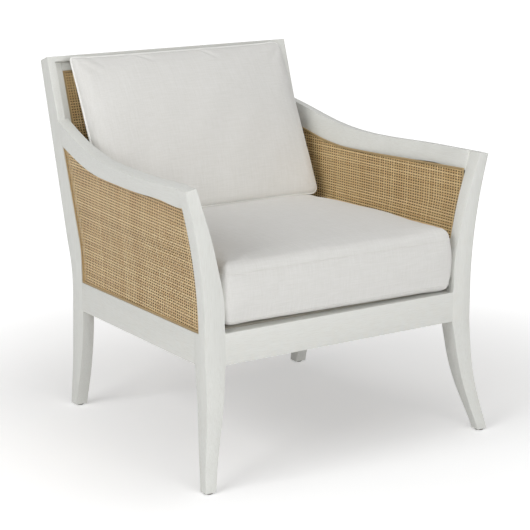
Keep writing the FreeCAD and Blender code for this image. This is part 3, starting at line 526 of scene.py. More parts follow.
# Wood members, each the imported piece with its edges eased

easedEdge = {
    "radius": 2.2,
    "segments": 3,
    "sharpest": 32,            # degrees past which an edge is eased
    "merge": 0.02,
    "flat": 0.5,               # degrees within which faces are one
}


def easeEdges(name, material):
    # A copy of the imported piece, merged, its flat faces joined, and its sharp edges rounded
    mesh = nodes[name].data.copy()
    mesh.name = f"{name}_eased"
    shape = bmesh.new()
    shape.from_mesh(mesh)
    bmesh.ops.remove_doubles(shape, verts=shape.verts, dist=easedEdge["merge"] * mm)
    flat = math.radians(easedEdge["flat"])
    bmesh.ops.dissolve_limit(shape, angle_limit=flat, verts=shape.verts, edges=shape.edges)
    shape.to_mesh(mesh)
    shape.free()
    mesh.materials.clear()
    mesh.materials.append(material)
    piece = addObject(f"{name}_eased", mesh)
    mesh.polygons.foreach_set("use_smooth", np.ones(len(mesh.polygons), bool))
    bevel = piece.modifiers.new("easedEdges", "BEVEL")
    bevel.width = easedEdge["radius"] * mm
    bevel.segments = easedEdge["segments"]
    bevel.limit_method = "ANGLE"
    bevel.angle_limit = math.radians(easedEdge["sharpest"])
    bevel.harden_normals = True
    return ride(piece, "frame", "limed_wood", name)


grainOf = {
    "front_leg_left": "up", "front_leg_right": "up", "rear_leg_left": "up", "rear_leg_right": "up",
    "arm_left": "along", "arm_right": "along", "side_rail_left": "along", "side_rail_right": "along",
    "front_rail": "across", "back_rail": "across", "crest_rail": "across", "lower_back_rail": "across",
    "back_panel_stile_left": "up", "back_panel_stile_right": "up", "back_panel_top": "across",
    "back_panel_bottom": "across",
}
for name, direction in grainOf.items():
    easeEdges(name, limed[direction])
print("wood members eased")

plainFinish = {
    "front_corner_block_left": raw["up"], "front_corner_block_right": raw["up"],
    "rear_corner_block_left": raw["up"], "rear_corner_block_right": raw["up"],
    "deck_cleat_front": raw["across"], "deck_cleat_rear": raw["across"],
    "deck_cleat_left": raw["along"], "deck_cleat_right": raw["along"],
    "deck_slat_front": raw["across"], "deck_slat_rear": raw["across"],
    "deck_slat_left": raw["along"], "deck_slat_right": raw["along"],
    "frame_dowels": raw["across"], "crest_dowels": raw["across"], "arm_dowels": raw["along"],
    "corner_bolts": zinc, "floor_glides": glidePlastic,
}
for name, material in plainFinish.items():
    nodes[name].data.materials.clear()
    nodes[name].data.materials.append(material)
print("hidden members finished")

# Lines of the side opening, as functions of how far back (along) and how high (level) a point is.
# The rail's are straight, the arm's run smoothly through stations, the post leans evenly, and the stile bends
# back as the square of the height until it runs straight up its rake.

armSweep = {
    "run": 617,
    "rise": 43,
    "heightFront": 33,
    "heightGain": 17,
    "runShares": [-0.02, 0.125, 0.27, 0.433, 0.562, 0.676, 0.789, 0.903, 1, 1.08],
    "flareShares": [1.01, 1.066, 1.054, 0.866, 0.676, 0.524, 0.412, 0.273, 0.102, -0.03],
    "riseShares": [0, -0.047, -0.093, -0.156, -0.144, -0.012, 0.256, 0.65, 0.988, 1.28],
    "heightShares": [0.13, 0.16, 0.18, 0.22, 0.35, 0.65, 0.82, 0.91, 1, 1.06],
}
armStations = chair["armPostDepthTop"] + armSweep["run"] * np.array(armSweep["runShares"])
armFlares = chair["armFlare"] * np.array(armSweep["flareShares"])
armTops = chair["armTop"] + armSweep["rise"] * np.array(armSweep["riseShares"])
armHeights = armSweep["heightFront"] + armSweep["heightGain"] * np.array(armSweep["heightShares"])


def armTopAt(along):
    return smoothThrough(armStations, armTops, along)


def armLowAt(along):
    return armTopAt(along) - smoothThrough(armStations, armHeights, along)


def railTopAt(along):
    return chair["railTop"] - along * chair["seatFall"] / chair["rearPostFront"]


def railFaceAt(along):
    return chair["frontHalfWidth"] - along * chair["narrowing"] / chair["rearPostFront"]


def postBackAt(level):
    share = (level - chair["railTop"]) / (chair["armTop"] - chair["railTop"])
    return chair["armPostDepthLow"] + share * (chair["armPostDepthTop"] - chair["armPostDepthLow"])


def stileFrontAt(level):
    share = np.clip((level - chair["railTop"]) / (chair["stileFoot"] - chair["railTop"]), 0, 1)
    below = chair["rearPostFront"] + chair["stileSetBack"] * share ** 2
    above = stileFront + (level - chair["stileFoot"]) * chair["stileRakeReach"] / chair["stileRise"]
    return np.where(level > chair["stileFoot"], above, below)


def sideFaceAt(along, level):
    # The side leans out from the rail to the arm as the square of its height, and meets the stile flush
    low = railTopAt(along)
    share = np.maximum(0, (level - low) / (armTopAt(along) - low))
    face = railFaceAt(along) + smoothThrough(armStations, armFlares, along) * share ** 2
    flush = (chair["frontHalfWidth"] - chair["narrowing"]
             + (stileFrontAt(level) - along) * chair["armFlare"] / armSweep["run"])
    return np.minimum(face, flush)


def onSide(side, inset, facing):
    # Puts points into the chair, in metres: inset from the outer face of one side, and lifted outwards where
    # facing is 1 and inwards where it is -1
    def putPoint(along, level, lift):
        x = sideFaceAt(along, level) - inset + facing * lift
        return np.stack([side * x, along - middleDepth, level], axis=-1) * mm

    return putPoint


def onBack(depth, facing):
    # The same for the raked back: depth behind the front of the stiles, and lifted to the front where facing
    # is 1 and to the rear where it is -1
    def putPoint(across, up, lift):
        behind = depth - facing * lift
        y = stileFront + behind * math.cos(rake) + up * math.sin(rake) - middleDepth
        z = chair["stileFoot"] - behind * math.sin(rake) + up * math.cos(rake)
        return np.stack(np.broadcast_arrays(across, y, z), axis=-1) * mm

    return putPoint


# Cane web: flat upright and level strands, woven one over and one under

weave = {
    "levelPitch": 6.08,
    "uprightPitch": {"side": 8.0, "back": 6.4},
    "uprightStrand": {"side": 3.9, "back": 3.3},
    "levelStrand": 3.2,
    "uneven": 0.07,            # how much a strand's width varies, as a share, and its place, in millimetres
    "thick": 0.3,
    "wave": 0.4,               # how far a strand is lifted where it passes over another
}


def caneWeb(name, putPoint, inside, uRange, vRange, part, seed, flip):
    # Upright strand m, at u = m p, is lifted by (-1)^m a cos(pi v/q), and level strand n, at v = n q,
    # by -(-1)^n a cos(pi u/p), so that each passes over one strand and under the next
    pitchU, pitchV = weave["uprightPitch"][part], weave["levelPitch"]
    chance = np.random.default_rng(seed)
    points, faces, uvs, toneOfPoint = [], [], [], []
    count = 0

    def addStrands(u, v, lift, acrossU, acrossV, width):
        # u, v and lift are strands x stations; each station has two edges and a raised middle
        nonlocal count
        strands, stations = u.shape
        half = width / 2 * (1 + weave["uneven"] * chance.normal(0, 1, (strands, 1)))
        shift = weave["uneven"] * chance.normal(0, 1, (strands, 1))
        u, v = u + shift * acrossU, v + shift * acrossV
        section = [(-half, 0.0), (0.0, weave["thick"]), (half, 0.0)]
        lines = [putPoint(u + aside * acrossU, v + aside * acrossV, lift + rise) for aside, rise in section]
        index = count + np.arange(strands * stations * 3).reshape(strands, stations, 3)
        keep = inside(u, v)
        both = keep[:, :-1] & keep[:, 1:]
        for line in range(3):
            after = (line + 1) % 3
            corners = [index[:, :-1, line], index[:, :-1, after], index[:, 1:, after], index[:, 1:, line]]
            faces.append(np.stack(corners, axis=-1)[both])
        along = np.broadcast_to(np.hypot(u - u[:, :1], v - v[:, :1])[..., None], index.shape) * mm
        offset = chance.uniform(0, 1, (strands, 1, 1)) + np.array([0, 0.5, 1]) * width * mm
        uvs.append(np.stack([along, np.broadcast_to(offset, index.shape)], axis=-1).reshape(-1, 2))
        toneOfPoint.append(np.broadcast_to(chance.uniform(0, 1, (strands, 1, 1)), index.shape).ravel())
        points.append(np.stack(lines, axis=2).reshape(-1, 3))
        count += index.size

    countU = math.ceil((uRange[1] - uRange[0]) / pitchU) + 1
    countV = math.ceil((vRange[1] - vRange[0]) / pitchV) + 1
    places, levels = np.arange(countU), np.arange(countV)
    halvesU, halvesV = np.arange(2 * countU - 1) / 2, np.arange(2 * countV - 1) / 2
    m, halfV = np.meshgrid(places, halvesV, indexing="ij")
    lift = (-1.0) ** m * weave["wave"] * np.cos(np.pi * halfV)
    addStrands(uRange[0] + m * pitchU, vRange[0] + halfV * pitchV, lift, 1, 0, weave["uprightStrand"][part])
    n, halfU = np.meshgrid(levels, halvesU, indexing="ij")
    lift = -((-1.0) ** n) * weave["wave"] * np.cos(np.pi * halfU)
    addStrands(uRange[0] + halfU * pitchU, vRange[0] + n * pitchV, lift, 0, -1, weave["levelStrand"])
    used, renumbered = np.unique(np.concatenate(faces), return_inverse=True)
    faces = renumbered.reshape(-1, 4)
    if flip:
        faces = faces[:, ::-1]
    piece = newPiece(name, np.concatenate(points)[used], faces, cane, np.concatenate(uvs)[used],
                     np.concatenate(toneOfPoint)[used])
    crease(piece)
    return piece


reedStrip = {
    "width": 5,
    "recess": 1.5,
    "thick": 2,
    "crown": 0.9,
    "seat": 0.1,
    "under": 1.5,              # how far short of the frame the cane ends, under the reed
    "intoArm": 2,              # how far the reed is carried up into the arm
    "crownSteps": 9,
    "proudShare": 0.2,         # of the thickness, by which the round top stands above the crown
    "sunkShare": 0.7,          # of the thickness, which lies in the groove
    "fibreWidth": 0.016,
    "tone": 0.5,
}
caneThick = 1.2


def insideSide(along, level):
    # Inside the frame round the side's opening, short of it by what lies under the reed
    under = reedStrip["under"]
    return ((level > railTopAt(along) + under) & (level < armLowAt(along) - under)
            & (along > postBackAt(level) + under) & (along < stileFrontAt(level) - under))


# Seen from the front, the rows of the far sheet lie behind the holes of the near one
sideRange = ((20, 690), (300, 660))
rowShift = {"left": {"outer": 0, "inner": 1.6}, "right": {"outer": 1.6, "inner": 0}}
outerDepth = reedStrip["recess"] + reedStrip["thick"] + reedStrip["seat"] + caneThick / 2
sideLayers = {"outer": (outerDepth, 1), "inner": (chair["sideRailThick"] - outerDepth, -1)}
seed = 11
for sideName, side in (("left", -1), ("right", 1)):
    for layer, (inset, facing) in sideLayers.items():
        seed += 1
        name = f"side_cane_{layer}_{sideName}"
        alongRange, (lowest, highest) = sideRange
        ranges = (alongRange, (lowest + rowShift[sideName][layer], highest))
        putPoint = onSide(side, inset, facing)
        web = caneWeb(f"{name}_web", putPoint, insideSide, *ranges, "side", seed, side * facing < 0)
        ride(web, "frame", "cane", name)
print("side cane woven")

panel = {
    "stileLip": 18.5,
    "crestLip": 12.4,
    "recess": 10,
    "thick": 14,
    "member": 20,
}
openingHalf = chair["frontHalfWidth"] - chair["narrowing"] - panel["stileLip"] - panel["member"]
openingLow = panel["member"]
openingHigh = stileLength - panel["crestLip"] - panel["member"]


def insideBack(across, up):
    under = reedStrip["under"]
    return ((np.abs(across) < openingHalf - under) & (up > openingLow + under) & (up < openingHigh - under))


backLayers = {
    "front": (panel["recess"] + outerDepth, 1, 0),
    "rear": (panel["recess"] + panel["thick"] - outerDepth, -1, weave["levelPitch"] / 2),
}
for layer, (depth, facing, rowLift) in backLayers.items():
    seed += 1
    ranges = ((-openingHalf, openingHalf), (openingLow + rowLift, openingHigh))
    putPoint = onBack(depth, facing)
    web = caneWeb(f"back_cane_{layer}_web", putPoint, insideBack, *ranges, "back", seed, facing > 0)
    ride(web, "frame", "cane", f"back_cane_{layer}")
print("back cane woven")

# Painted shade: a dark sheet between the two sheets of cane of each panel stands in for the shade in the
# hollow, so the holes of the cane are dark on every side.
# Its grid settles between the post and the stile and between the rail and the arm.

shadeSheet = {
    "across": 90,
    "up": 50,
    "thick": 0.4,
    "startsAt": 30,
    "startRun": 550,
    "settles": 12,
    "sideFlat": (0.62, 0.34),  # in metres
}
shareAcross, shareUp = np.meshgrid(np.linspace(0, 1, shadeSheet["across"]), np.linspace(0, 1, shadeSheet["up"]))
sideAlong = shadeSheet["startsAt"] + shadeSheet["startRun"] * shareAcross
for settle in range(shadeSheet["settles"]):
    lowLevel, highLevel = railTopAt(sideAlong), armLowAt(sideAlong)
    sideLevel = lowLevel + shareUp * (highLevel - lowLevel)
    sideAlong = postBackAt(sideLevel) + shareAcross * (stileFrontAt(sideLevel) - postBackAt(sideLevel))
backAcross = openingHalf * (2 * shareAcross - 1)
backUp = openingLow + shareUp * (openingHigh - openingLow)


def stretchShadeSheet(name, front, rear):
    # The sheet of painted shade: two faces its thickness apart, joined round their edge
    rows, columns = front.shape[:2]
    count = rows * columns
    faces = gridFaces(rows, columns)
    index = np.arange(count).reshape(rows, columns)
    border = np.concatenate([index[0, :-1], index[:-1, -1], index[-1, :0:-1], index[:0:-1, 0]])
    after = np.roll(border, -1)
    rim = np.stack([after, border, border + count, after + count], axis=1)
    points = np.concatenate([front.reshape(-1, 3), rear.reshape(-1, 3)])
    piece = newPiece(name, points, np.concatenate([faces, faces[:, ::-1] + count, rim]), paintedShadeSheet)
    crease(piece)
    ride(piece, "frame", "deck_cloth")


halfShadeSheet = shadeSheet["thick"] / 2
outwardStep = np.gradient(sideFaceAt(sideAlong, sideLevel), axis=0)
for sideName, side in (("left", -1), ("right", 1)):
    putPoint = onSide(side, chair["sideRailThick"] / 2, side)
    rightFace, leftFace = [putPoint(sideAlong, sideLevel, lift) for lift in (halfShadeSheet, -halfShadeSheet)]
    stretchShadeSheet(f"side_painted_shade_{sideName}", rightFace, leftFace)
putPoint = onBack(panel["recess"] + panel["thick"] / 2, 1)
frontFace, rearFace = [putPoint(backAcross, backUp, lift) for lift in (halfShadeSheet, -halfShadeSheet)]
stretchShadeSheet("back_painted_shade", frontFace, rearFace)
print("cane lined")


# Reed spline, a half round strip in the groove round each web

def reedRing(name, putPoint, route, facing, replaced):
    # The route is a closed line; the strip is carried along it and mitred where it turns
    route = np.asarray(route, float)
    ahead = np.roll(route, -1, axis=0) - route
    ahead /= np.linalg.norm(ahead, axis=1, keepdims=True)
    behind = np.roll(ahead, 1, axis=0)
    square = np.stack([-(ahead + behind)[:, 1], (ahead + behind)[:, 0]], axis=1)
    square /= np.linalg.norm(square, axis=1, keepdims=True)
    turn = np.sum(square * np.stack([-ahead[:, 1], ahead[:, 0]], axis=1), axis=1)
    square /= turn[:, None]
    angles = np.linspace(0, math.pi, reedStrip["crownSteps"])
    across = np.concatenate([np.cos(angles), [-1, 1]]) * reedStrip["width"] / 2
    top = reedStrip["crown"] + reedStrip["thick"] * reedStrip["proudShare"]
    sunk = -reedStrip["thick"] * reedStrip["sunkShare"]
    lift = np.concatenate([np.sin(angles) * top, [sunk, sunk]])
    u = route[:, :1] + square[:, :1] * across
    v = route[:, 1:] + square[:, 1:] * across
    shape = putPoint(u, v, np.broadcast_to(lift, u.shape))
    rows, columns = u.shape
    faces = gridFaces(rows, columns, closeRows=True, closeColumns=True)
    if facing < 0:
        faces = faces[:, ::-1]
    length = np.concatenate([[0], np.cumsum(np.linalg.norm(np.diff(route, axis=0), axis=1))])
    aroundStrip = np.linspace(0, reedStrip["fibreWidth"], columns)
    uv = np.stack(np.broadcast_arrays(length[:, None] * mm, aroundStrip[None, :]), axis=-1).reshape(-1, 2)
    tone = np.full(rows * columns, reedStrip["tone"])
    piece = newPiece(name, shape.reshape(-1, 3), faces, reed, uv, tone)
    crease(piece)
    ride(piece, "frame", "reed_spline", replaced)


sideCorners = {                # a place near each corner of the opening, from which its own is settled
    "frontLow": (30.0, 320.0),
    "rearLow": (560.0, 305.0),
    "rearHigh": (640.0, 600.0),
    "frontHigh": (30.0, 580.0),
    "settles": 8,
}
sideSteps = {"rail": 40, "stile": 36, "arm": 56, "post": 24}


def sideRoute(inset):
    # Round the opening, inset from it: back along the rail, up the stile, forward under the arm and down
    # the post
    def low(along):
        return railTopAt(along) + inset

    def high(along):
        return armLowAt(along) - inset + reedStrip["intoArm"]

    def near(level):
        return postBackAt(level) + inset

    def far(level):
        return stileFrontAt(level) - inset

    def corner(label, alongLine, levelLine):
        along, level = sideCorners[label]
        for settle in range(sideCorners["settles"]):
            along, level = alongLine(level), levelLine(along)
        return along, level

    def stretch(first, last, steps):
        return np.linspace(first, last, steps)[:-1]

    frontLow, rearLow = corner("frontLow", near, low), corner("rearLow", far, low)
    rearHigh, frontHigh = corner("rearHigh", far, high), corner("frontHigh", near, high)
    bottom = stretch(frontLow[0], rearLow[0], sideSteps["rail"])
    rise = stretch(rearLow[1], rearHigh[1], sideSteps["stile"])
    top = stretch(rearHigh[0], frontHigh[0], sideSteps["arm"])
    fall = stretch(frontHigh[1], frontLow[1], sideSteps["post"])
    lines = [(bottom, low(bottom)), (far(rise), rise), (top, high(top)), (near(fall), fall)]
    return np.concatenate([np.stack(line, axis=1) for line in lines])


ringRoute = sideRoute(reedStrip["width"] / 2)
reedDepth = reedStrip["recess"] + reedStrip["crown"]
for sideName, side in (("left", -1), ("right", 1)):
    for layer, facing in (("outer", 1), ("inner", -1)):
        inset = reedDepth if facing > 0 else chair["sideRailThick"] - reedDepth
        name = f"side_spline_{layer}_{sideName}"
        reedRing(f"{name}_reed", onSide(side, inset, facing), ringRoute, side * facing, name)
ringHalf = openingHalf - reedStrip["width"] / 2
ringLow = openingLow + reedStrip["width"] / 2
ringHigh = openingHigh - reedStrip["width"] / 2
backRoute = [(-ringHalf, ringLow), (ringHalf, ringLow), (ringHalf, ringHigh), (-ringHalf, ringHigh)]
for layer, facing in (("front", 1), ("rear", -1)):
    depth = panel["recess"] + (reedDepth if facing > 0 else panel["thick"] - reedDepth)
    name = f"back_spline_{layer}"
    reedRing(f"{name}_reed", onBack(depth, facing), backRoute, -facing, name)
print("reed splines laid")

# Cushions

seatCushion = {
    "halfWidth": 291,
    "front": 0,
    "rear": 555,
    "low": 1.6,
    "high": 140,
    "crown": (15, 0),          # of the upper and the lower face
    "crownPower": 0.25,
    "edge": (18, 18),          # how far the rounding reaches in from the side, and down it
    "corners": (12, 12, 12, 12),
    "drawIn": 1,
    "bulge": 6,
    "steps": (25, 41),
    "turn": seatTilt,
    "along": 0,
    "level": chair["railTop"],
    "stands": False,
    "cap": 4,
    "pressure": 4,
    "voxel": 6,
    "waves": (0.9, 150, 5),    # height and length of the cloth's slack, and the seed of its draws
    "folds": [
        {"from": (262, 26), "to": (225, 70), "deep": 1.2, "wide": 9},
        {"from": (-262, 26), "to": (-215, 60), "deep": 1.2, "wide": 9},
    ],
    "lift": (9, 80),           # how far the left front corner is lifted below, and over what reach
    "floor": 1.6,              # the deck, which holds the underside flat
    "fill": 0.85,
}
backCushion = {
    "halfWidth": 285,
    "front": 0.5,
    "rear": 385.5,
    "low": -10,
    "high": 10,
    "crown": (53, 41.5),
    "crownPower": 0.5,
    "edge": (13, 10),
    "corners": (24, 8, 14, 20),
    "drawIn": 2,
    "bulge": 0,
    "steps": (25, 41),
    "turn": backLean,
    "along": 497.54,
    "level": 451.06,
    "stands": True,
    "cap": 3,
    "pressure": 4,
    "voxel": 5,
    "waves": (1.1, 130, 9),
    "folds": [
        {"from": (-128, 384), "to": (-78, 352), "deep": 4.5, "wide": 5},
        {"from": (44, 384), "to": (88, 346), "deep": 4, "wide": 5},
        {"from": (-262, 366), "to": (-214, 322), "deep": 1.6, "wide": 8},
        {"from": (-240, 384), "to": (-205, 345), "deep": 1.3, "wide": 7},
        {"from": (258, 360), "to": (220, 318), "deep": 1.6, "wide": 9},
        {"from": (262, 26), "to": (216, 66), "deep": 1.8, "wide": 9},
        {"from": (-262, 22), "to": (-222, 58), "deep": 1.4, "wide": 8},
    ],
    "lift": (0, 1),
    "floor": None,
    "fill": 0.8,
}


cushionGrid = {
    "arcSteps": 9,
    "wallSteps": 17,
    "plateEase": 0.8,          # below 1 the rows of the two faces stand closer near the edge
}


def planOutline(look):
    # Four corner arcs joined by straight runs, drawn in between the corners, with the normal at each point
    halfWidth, halfDepth = look["halfWidth"], (look["rear"] - look["front"]) / 2
    turns = np.linspace(0, quarterTurn, cushionGrid["arcSteps"])
    arcs = []
    for quarter, radius in enumerate(look["corners"]):
        signX = 1 if quarter in (0, 3) else -1
        signY = 1 if quarter in (0, 1) else -1
        turned = turns + quarter * quarterTurn
        arcs.append(np.stack([signX * (halfWidth - radius) + radius * np.cos(turned),
                              signY * (halfDepth - radius) + radius * np.sin(turned),
                              np.cos(turned), np.sin(turned)], axis=1))
    share = np.linspace(0, 1, look["steps"][1])[1:-1, None]
    runs = []
    for quarter, corner in enumerate(arcs):
        following = arcs[(quarter + 1) % 4]
        runs += [corner, corner[-1] + share * (following[0] - corner[-1])]
    outline = np.concatenate(runs)
    x, y = outline[:, 0], outline[:, 1]
    draw = look["drawIn"] * (1 - (x / halfWidth) ** 4 * (y / halfDepth) ** 4)
    outline[:, :2] -= outline[:, 2:] * draw[:, None]
    return outline


def crownShare(look, x, y):
    # How full the crown is over a point of the plan, measured from the plan's middle
    shareX = np.clip(1 - (x / look["halfWidth"]) ** 2, 0, 1) ** look["crownPower"]
    shareY = np.clip(1 - (2 * y / (look["rear"] - look["front"])) ** 2, 0, 1)
    return shareX * shareY


def cushionBody(look):
    # The plan's outline carries a profile from the middle of the top, round the edge, down the side and back
    # to the middle below; then each face is raised by its crown
    x, y, normalX, normalY = planOutline(look).T
    inward, edge = look["edge"]
    low, high = look["low"], look["high"]
    middle, wallHalf = (low + high) / 2, (high - low) / 2 - edge
    plate = np.linspace(0, 1, look["steps"][0])[1:] ** cushionGrid["plateEase"]
    turned = np.linspace(0, quarterTurn, cushionGrid["arcSteps"])[1:]
    wall = np.linspace(1, -1, cushionGrid["wallSteps"])[1:-1] if wallHalf > 0 else np.zeros(0)
    roundOut = inward * (np.sin(turned) - 1)
    roundDown = edge * (1 - np.cos(turned))
    if not len(wall):
        turned = turned[:-1]
    scale = np.concatenate([plate, np.ones(len(roundOut) + len(wall) + len(turned)), plate[::-1]])
    out = np.concatenate([np.full(len(plate), -inward), roundOut, look["bulge"] * (1 - wall ** 2),
                          roundOut[:len(turned)][::-1], np.full(len(plate), -inward)])
    level = np.concatenate([np.full(len(plate), high), high - roundDown, middle + wall * wallHalf,
                            low + roundDown[:len(turned)][::-1], np.full(len(plate), low)])
    scale, out, level = scale[:, None], out[:, None], level[:, None]
    gridX = scale * (x + normalX * out)
    gridY = scale * (y + normalY * out)
    gridZ = np.broadcast_to(level, gridX.shape)
    rows, columns = gridX.shape
    grid = np.stack([gridX, gridY, gridZ], axis=-1).reshape(-1, 3)
    points = np.concatenate([grid, [[0, 0, high], [0, 0, low]]])
    faces = gridFaces(rows, columns, closeColumns=True)[:, ::-1]
    around = np.arange(columns)
    topFan = np.stack([around, np.roll(around, -1), np.full(columns, rows * columns)], axis=1)
    lowFan = np.stack([np.roll(around, -1), around, np.full(columns, rows * columns + 1)], axis=1)
    lowFan[:, :2] += (rows - 1) * columns
    upper = np.clip((points[:, 2] - middle) / ((high - low) / 2), -1, 1)
    crown = np.where(upper > 0, *look["crown"])
    points[:, 2] += crownShare(look, points[:, 0], points[:, 1]) * crown * upper
    points[:, 1] += (look["rear"] + look["front"]) / 2
    return points, np.concatenate([faces[:, [0, 1, 2]], faces[:, [0, 2, 3]], topFan, lowFan])


def placed(look, points):
    # From the piece's own axes to the chair: turned back about a line across, and moved there.
    # A piece that stands has its length upwards and its thickness through.
    x, a, b = points[:, 0], points[:, 1], points[:, 2]
    if look["stands"]:
        a, b = b, a
    cosine, sine = math.cos(look["turn"]), math.sin(look["turn"])
    y = a * cosine + b * sine + look["along"] - middleDepth
    z = b * cosine - a * sine + look["level"]
    return np.stack([x, y, z], axis=1) * mm


def ownAxes(look, points):
    # The way back from the chair to the piece's own axes
    x, y, z = (points / mm).T
    y, z = y - look["along"] + middleDepth, z - look["level"]
    cosine, sine = math.cos(look["turn"]), math.sin(look["turn"])
    a, b = y * cosine - z * sine, y * sine + z * cosine
    return np.stack([x, b, a] if look["stands"] else [x, a, b], axis=1)


def vertexValues(piece, key="co"):
    values = np.empty(len(piece.data.vertices) * 3, np.float32)
    piece.data.vertices.foreach_get(key, values)
    return values.reshape(-1, 3).astype(float)


def movePoints(piece, points):
    piece.data.vertices.foreach_set("co", points.astype(np.float32).ravel())


def applyModifiers(piece):
    # The mesh that the modifiers make takes the place of the piece's own
    bpy.context.view_layer.update()
    graph = bpy.context.evaluated_depsgraph_get()
    done = bpy.data.meshes.new_from_object(piece.evaluated_get(graph), depsgraph=graph)
    piece.modifiers.clear()
    old = piece.data
    piece.data = done
    bpy.data.meshes.remove(old)


airing = {"frames": 20, "quality": 5}


def inflate(piece, look):
    # Voxel mesh, air pressure for some frames, each point's way w held under a cap c as c tanh(w / c), and
    # one subdivision
    remesh = piece.modifiers.new("even", "REMESH")
    remesh.mode = "VOXEL"
    remesh.voxel_size = look["voxel"] * mm
    applyModifiers(piece)
    start = vertexValues(piece)
    cloth = piece.modifiers.new("air", "CLOTH")
    cloth.settings.use_pressure = True
    cloth.settings.uniform_pressure_force = look["pressure"]
    cloth.settings.effector_weights.gravity = 0
    cloth.settings.quality = airing["quality"]
    cloth.point_cache.frame_start = 1
    cloth.point_cache.frame_end = airing["frames"]
    for number in range(1, airing["frames"] + 1):
        bpy.context.scene.frame_set(number)
    applyModifiers(piece)
    moved = vertexValues(piece) - start
    length = np.linalg.norm(moved, axis=1, keepdims=True)
    cap = look["cap"] * mm
    moved *= cap * np.tanh(length / cap) / np.maximum(length, 1e-9)
    movePoints(piece, start + moved)
    bpy.context.scene.frame_set(1)
    piece.modifiers.new("smooth", "SUBSURF").levels = 1
    piece.modifiers["smooth"].render_levels = 1
    applyModifiers(piece)
    piece.data.polygons.foreach_set("use_smooth", np.ones(len(piece.data.polygons), bool))
    piece.data.update()


slackWaves = {"count": 6, "share": 1 / 3, "lengthShares": (0.7, 1.5)}
foldShape = {
    "fade": 0.7,               # below 1 a fold stays deep for longer along its line
    "ridge": 0.45,             # height of the cloth pushed up beside a fold, as a share of its depth
    "ridgeAt": 1.9,            # how far from the line it stands, in widths of the fold
}


def layFolds(piece, look):
    # Slack of the cloth as a few long sine waves, each fold as a bell shaped groove that fades along its line
    # with a lower ridge beside it, the lifted corner and the flat underside, all in the cushion's own axes
    points = ownAxes(look, vertexValues(piece))
    normals = ownAxes({**look, "along": middleDepth, "level": 0}, vertexValues(piece, "normal") * mm)
    x, y, z = points.T
    height, length, waveSeed = look["waves"]
    chance = np.random.default_rng(waveSeed)
    slack = np.zeros(len(points))
    for wave in range(slackWaves["count"]):
        way, shift = chance.uniform(0, 2 * math.pi, 2)
        turns = 2 * math.pi / (length * chance.uniform(*slackWaves["lengthShares"]))
        along = x * math.cos(way) + y * math.sin(way)
        slack += height * slackWaves["share"] * np.sin(turns * along + shift)
    for fold in look["folds"]:
        start, end = np.array(fold["from"], float), np.array(fold["to"], float)
        run = end - start
        share = np.clip(((x - start[0]) * run[0] + (y - start[1]) * run[1]) / (run @ run), 0, 1)
        far = np.hypot(x - start[0] - share * run[0], y - start[1] - share * run[1]) / fold["wide"]
        slack -= fold["deep"] * (1 - share) ** foldShape["fade"] * np.exp(-far ** 2)
        slack += fold["deep"] * foldShape["ridge"] * (1 - share) * np.exp(-(far - foldShape["ridgeAt"]) ** 2)
    middle = (look["low"] + look["high"]) / 2
    shown = -1 if look["stands"] else 1     # a cushion that stands shows its lower face to the front
    facing = np.clip(normals[:, 2] * shown, 0, 1)
    points += normals * (slack * facing)[:, None]
    rise, reach = look["lift"]
    leftShare = np.clip(0.5 - x / (2 * look["halfWidth"]), 0, 1)
    under = np.clip((middle - z) / (middle - look["low"]), 0, 1)
    points[:, 2] += rise * leftShare * under * np.exp(-((y - look["front"]) / reach) ** 2)
    if look["floor"] is not None:
        points[:, 2] = np.maximum(points[:, 2], look["floor"])
    movePoints(piece, placed(look, points))
    piece.data.update()


stitching = {
    "nearest": 6,              # points of the cushion whose mean place carries the seam
    "smoothings": 4,
    "around": 10,
    "proud": 0.6,              # how far the seam stands out of the cloth, as a share of its radius
    "steps": 560,
}


def sewnSeam(name, piece, path, radius, material):
    # A fine round welt along a closed line, laid on the nearest place of the cushion
    surface, normals = vertexValues(piece), vertexValues(piece, "normal")
    squared = np.stack([np.sum((surface - point) ** 2, axis=1) for point in path])
    count = stitching["nearest"]
    nearest = np.argpartition(squared, count, axis=1)[:, :count]
    normal = normals[nearest].mean(axis=1)
    normal /= np.linalg.norm(normal, axis=1, keepdims=True)
    gap = np.sum((surface[nearest].mean(axis=1) - path) * normal, axis=1)
    for smoothing in range(stitching["smoothings"]):
        gap = (np.roll(gap, 1) + 2 * gap + np.roll(gap, -1)) / 4
        normal = np.roll(normal, 1, axis=0) + 2 * normal + np.roll(normal, -1, axis=0)
        normal /= np.linalg.norm(normal, axis=1, keepdims=True)
    line = path + normal * gap[:, None]
    tangent = np.roll(line, -1, axis=0) - np.roll(line, 1, axis=0)
    tangent /= np.linalg.norm(tangent, axis=1, keepdims=True)
    beside = np.cross(tangent, normal)
    angles = np.linspace(0, 2 * math.pi, stitching["around"], endpoint=False)[None, :, None]
    aside = np.cos(angles) * beside[:, None, :] + np.sin(angles) * normal[:, None, :]
    ring = (line + normal * radius * mm * stitching["proud"])[:, None, :] + radius * mm * aside
    faces = gridFaces(*ring.shape[:2], closeRows=True, closeColumns=True)
    return newPiece(name, ring.reshape(-1, 3), faces, material)


def makeCushion(name, look, material, body, slot, *replaced):
    # The body is filled with air, its cloth laid in folds, and the piece set on its own part of the chair
    points, faces = cushionBody(look)
    piece = newPiece(name, placed(look, points), faces, material)
    inflate(piece, look)
    layFolds(piece, look)
    ride(piece, body, slot, *replaced)
    reach = ownAxes(look, vertexValues(piece))
    print(name, "reaches from", reach.min(axis=0).round(1), "to", reach.max(axis=0).round(1))
    return piece


def seamPath(look, level):
    # The cushion's outline at a level of its own axes, evenly stepped
    outline = planOutline(look)
    outline[:, 1] += (look["rear"] + look["front"]) / 2
    closed = np.vstack([outline[:, :2], outline[:1, :2]])
    run = np.concatenate([[0], np.cumsum(np.linalg.norm(np.diff(closed, axis=0), axis=1))])
    at = np.linspace(0, run[-1], stitching["steps"] + 1)[:-1]
    x, y = np.interp(at, run, closed[:, 0]), np.interp(at, run, closed[:, 1])
    return placed(look, np.stack([x, y, np.full(len(x), float(level))], axis=1))


